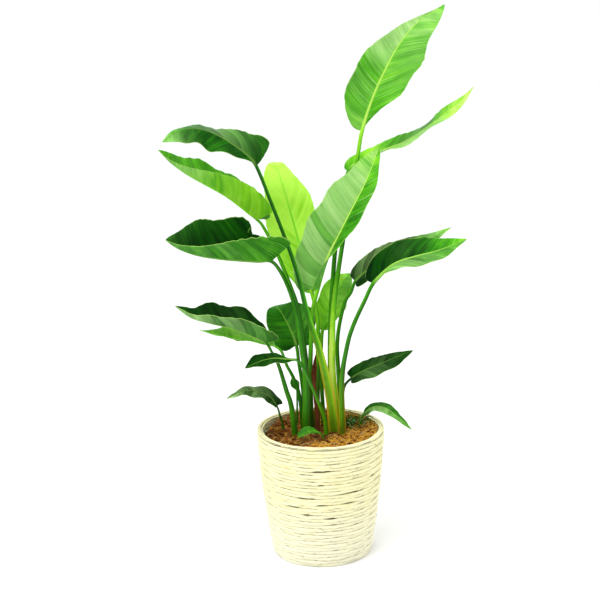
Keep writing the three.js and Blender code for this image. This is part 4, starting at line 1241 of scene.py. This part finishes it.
def stalk_finish(name, glow):
    """Stalk and midrib: ribbed along its length, with thin golden margins, painted light and shade
    across the front, and brown spots and painted shade low down.
    """
    finish, start = new_finish(name)
    across, distance, place = marks_of(start, "place")
    tone, gold, turn = marks_of(start, "look")
    fibres = cloudy(start.node("CombineXYZ", {}, {"X": across * 3.2, "Y": distance * 7.0}), 2.4, 4.0)
    blots = cloudy(start.node("TexCoord", {}, {}, "Object"), 34.0, 4.0)
    edge = eased(start.maths("ABSOLUTE", across), 0.45, 0.95)
    front = start.maths("LESS_THAN", across, 1.02)
    # Painted light and shade: the front is a little lighter at one edge and darker towards the other.
    turned = eased(across, -0.2, 0.9, 0.06, -0.16) * front * turn
    shade = tone + (fibres - 0.5) * 0.50 + (blots - 0.5) * 0.18 + turned
    gilding = (gold ** 1.7) * (0.18 + edge * 0.80) * (0.4 + fibres)
    gilt = start.mix(gilding.clamp(), tinted(shade, GREENS), GOLDEN_MARGIN)
    rib = start.node("MapRange", {}, {"Value": place, "From Min": 1.0, "From Max": 1.06, "To Max": 0.5})
    ribbed = start.mix(rib * tone, gilt, CREAM_RIB)
    # Brown spots and painted shade: the stalk darkens near the soil, where the stalks crowd.
    low = start.node("MapRange", {}, {
        "Value": distance, "From Min": 0.03, "From Max": 0.11, "To Min": 1.0, "To Max": 0.0})
    flecks_and_shade = ((blots * 3.2 - 1.5) * low + low * low * 0.35).clamp()
    stained = start.mix(flecks_and_shade * 0.85, ribbed, BROWN_FLECK_AND_SHADE)
    relief = relief_of(fibres, 0.3, 0.0006)
    skin = coat(start, stained, 0.30 + (blots - 0.5) * 0.2, 0.12, relief)
    show_lit(skin, (rib * glow).clamp())
    return finish


# Finishes of the upper and lower faces: how far their tone is lifted, and their wax, gloss,
# roughness and light from behind. Of a stalk only its light from behind differs.
UPPER = {
    "leaf_bright": skin_finish("bright_leaf_skin", 0.0, 0.0, 0.04, 0.36, 0.48),
    "leaf_middle": skin_finish("middle_leaf_skin", 0.0, 0.0, 0.03, 0.30, 0.16),
    "leaf_dark": skin_finish("dark_leaf_skin", 0.0, 0.0, 0.01, 0.30, 0.05),
}
UNDER = {
    "leaf_bright": skin_finish("bright_leaf_back", 0.03, 0.05, 0.04, 0.48, 0.48),
    "leaf_middle": skin_finish("middle_leaf_back", 0.05, 0.08, 0.03, 0.48, 0.16),
    "leaf_dark": skin_finish("dark_leaf_back", 0.12, 0.14, 0.02, 0.48, 0.06),
}
STALKS = {
    "leaf_bright": stalk_finish("bright_stalk", 1.5),
    "leaf_middle": stalk_finish("middle_stalk", 0.3),
    "leaf_dark": stalk_finish("dark_stalk", 0.1),
}


def grow_leaf(node, measures, slot, seed):
    leaf = PLAIN_LEAF | measures
    points = [Vector((x * MM, y * MM, z * MM)) for x, y, z in leaf["stalk"] + leaf["rib"]]
    path = smooth_path(points)
    base = path[0][len(leaf["stalk"]) * PATH_STEPS]
    length = path[0][-1] - base
    blade = lay_blade(leaf, path, base, length, seed)
    blade.data.materials.append(UPPER[slot])
    blade.data.materials.append(UNDER[slot])
    rod = lay_rod(leaf, path, base, length)
    rod.data.materials.append(STALKS[slot])
    deselect()
    rod.select_set(True)
    blade.select_set(True)
    bpy.context.view_layer.objects.active = blade
    bpy.ops.object.join()
    blade.name = "grown_" + node
    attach(blade, "root")
    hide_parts(node)


slots = {row["node"]: row["material_slot"] for row in frame["record"]["subparts"]}
for seed, (node, measures) in enumerate(LEAVES.items()):
    grow_leaf(node, measures, slots[node], seed)

# ---------------------------------------------------------------- dry sheath
# A dead outer sheath, reddish brown and papery, stays clasped between the stalks where its leaf
# has withered away.

DRY_SHEATH = dict(
    stalk=[[-6, -3, FOOT_DEPTH], [-8, 0, 330], [-12, 5, 386]],
    rib=[[-13, 8, 416], [-13, 11, 444], [-8, 14, 478]],
    faces=[[0.2, -1, 0], [0.3, -1, 0.1], [0.5, -1, 0.2]], fold=[[40, 40, 30], [40, 40, 30]],
    shape=[[0.3, 0.3, 1], [0.3, 0.3, 1]], width=[7, 7], wave=[1, 2, 0.1], lobe=[0, 0], foot=7,
    neck=4.5,
)
SHEATH_SEED = 20

dry, start = new_finish("dry_sheath_husk")
across, distance, place = marks_of(start, "place")
fibres = cloudy(start.node("CombineXYZ", {}, {"X": across * 3.0, "Y": distance * 8.0}), 2.4, 4.0)
brown = tinted(fibres, [
    (0.35, (0.020, 0.006, 0.003)), (0.5, (0.10, 0.024, 0.008)), (0.65, (0.24, 0.085, 0.025))])
show(coat(start, brown, 0.85, 0.05, relief_of(fibres, 0.7, 0.001)))
UPPER["husk"] = dry
UNDER["husk"] = dry
STALKS["husk"] = dry
grow_leaf("dry_sheath", DRY_SHEATH, "husk", SHEATH_SEED)
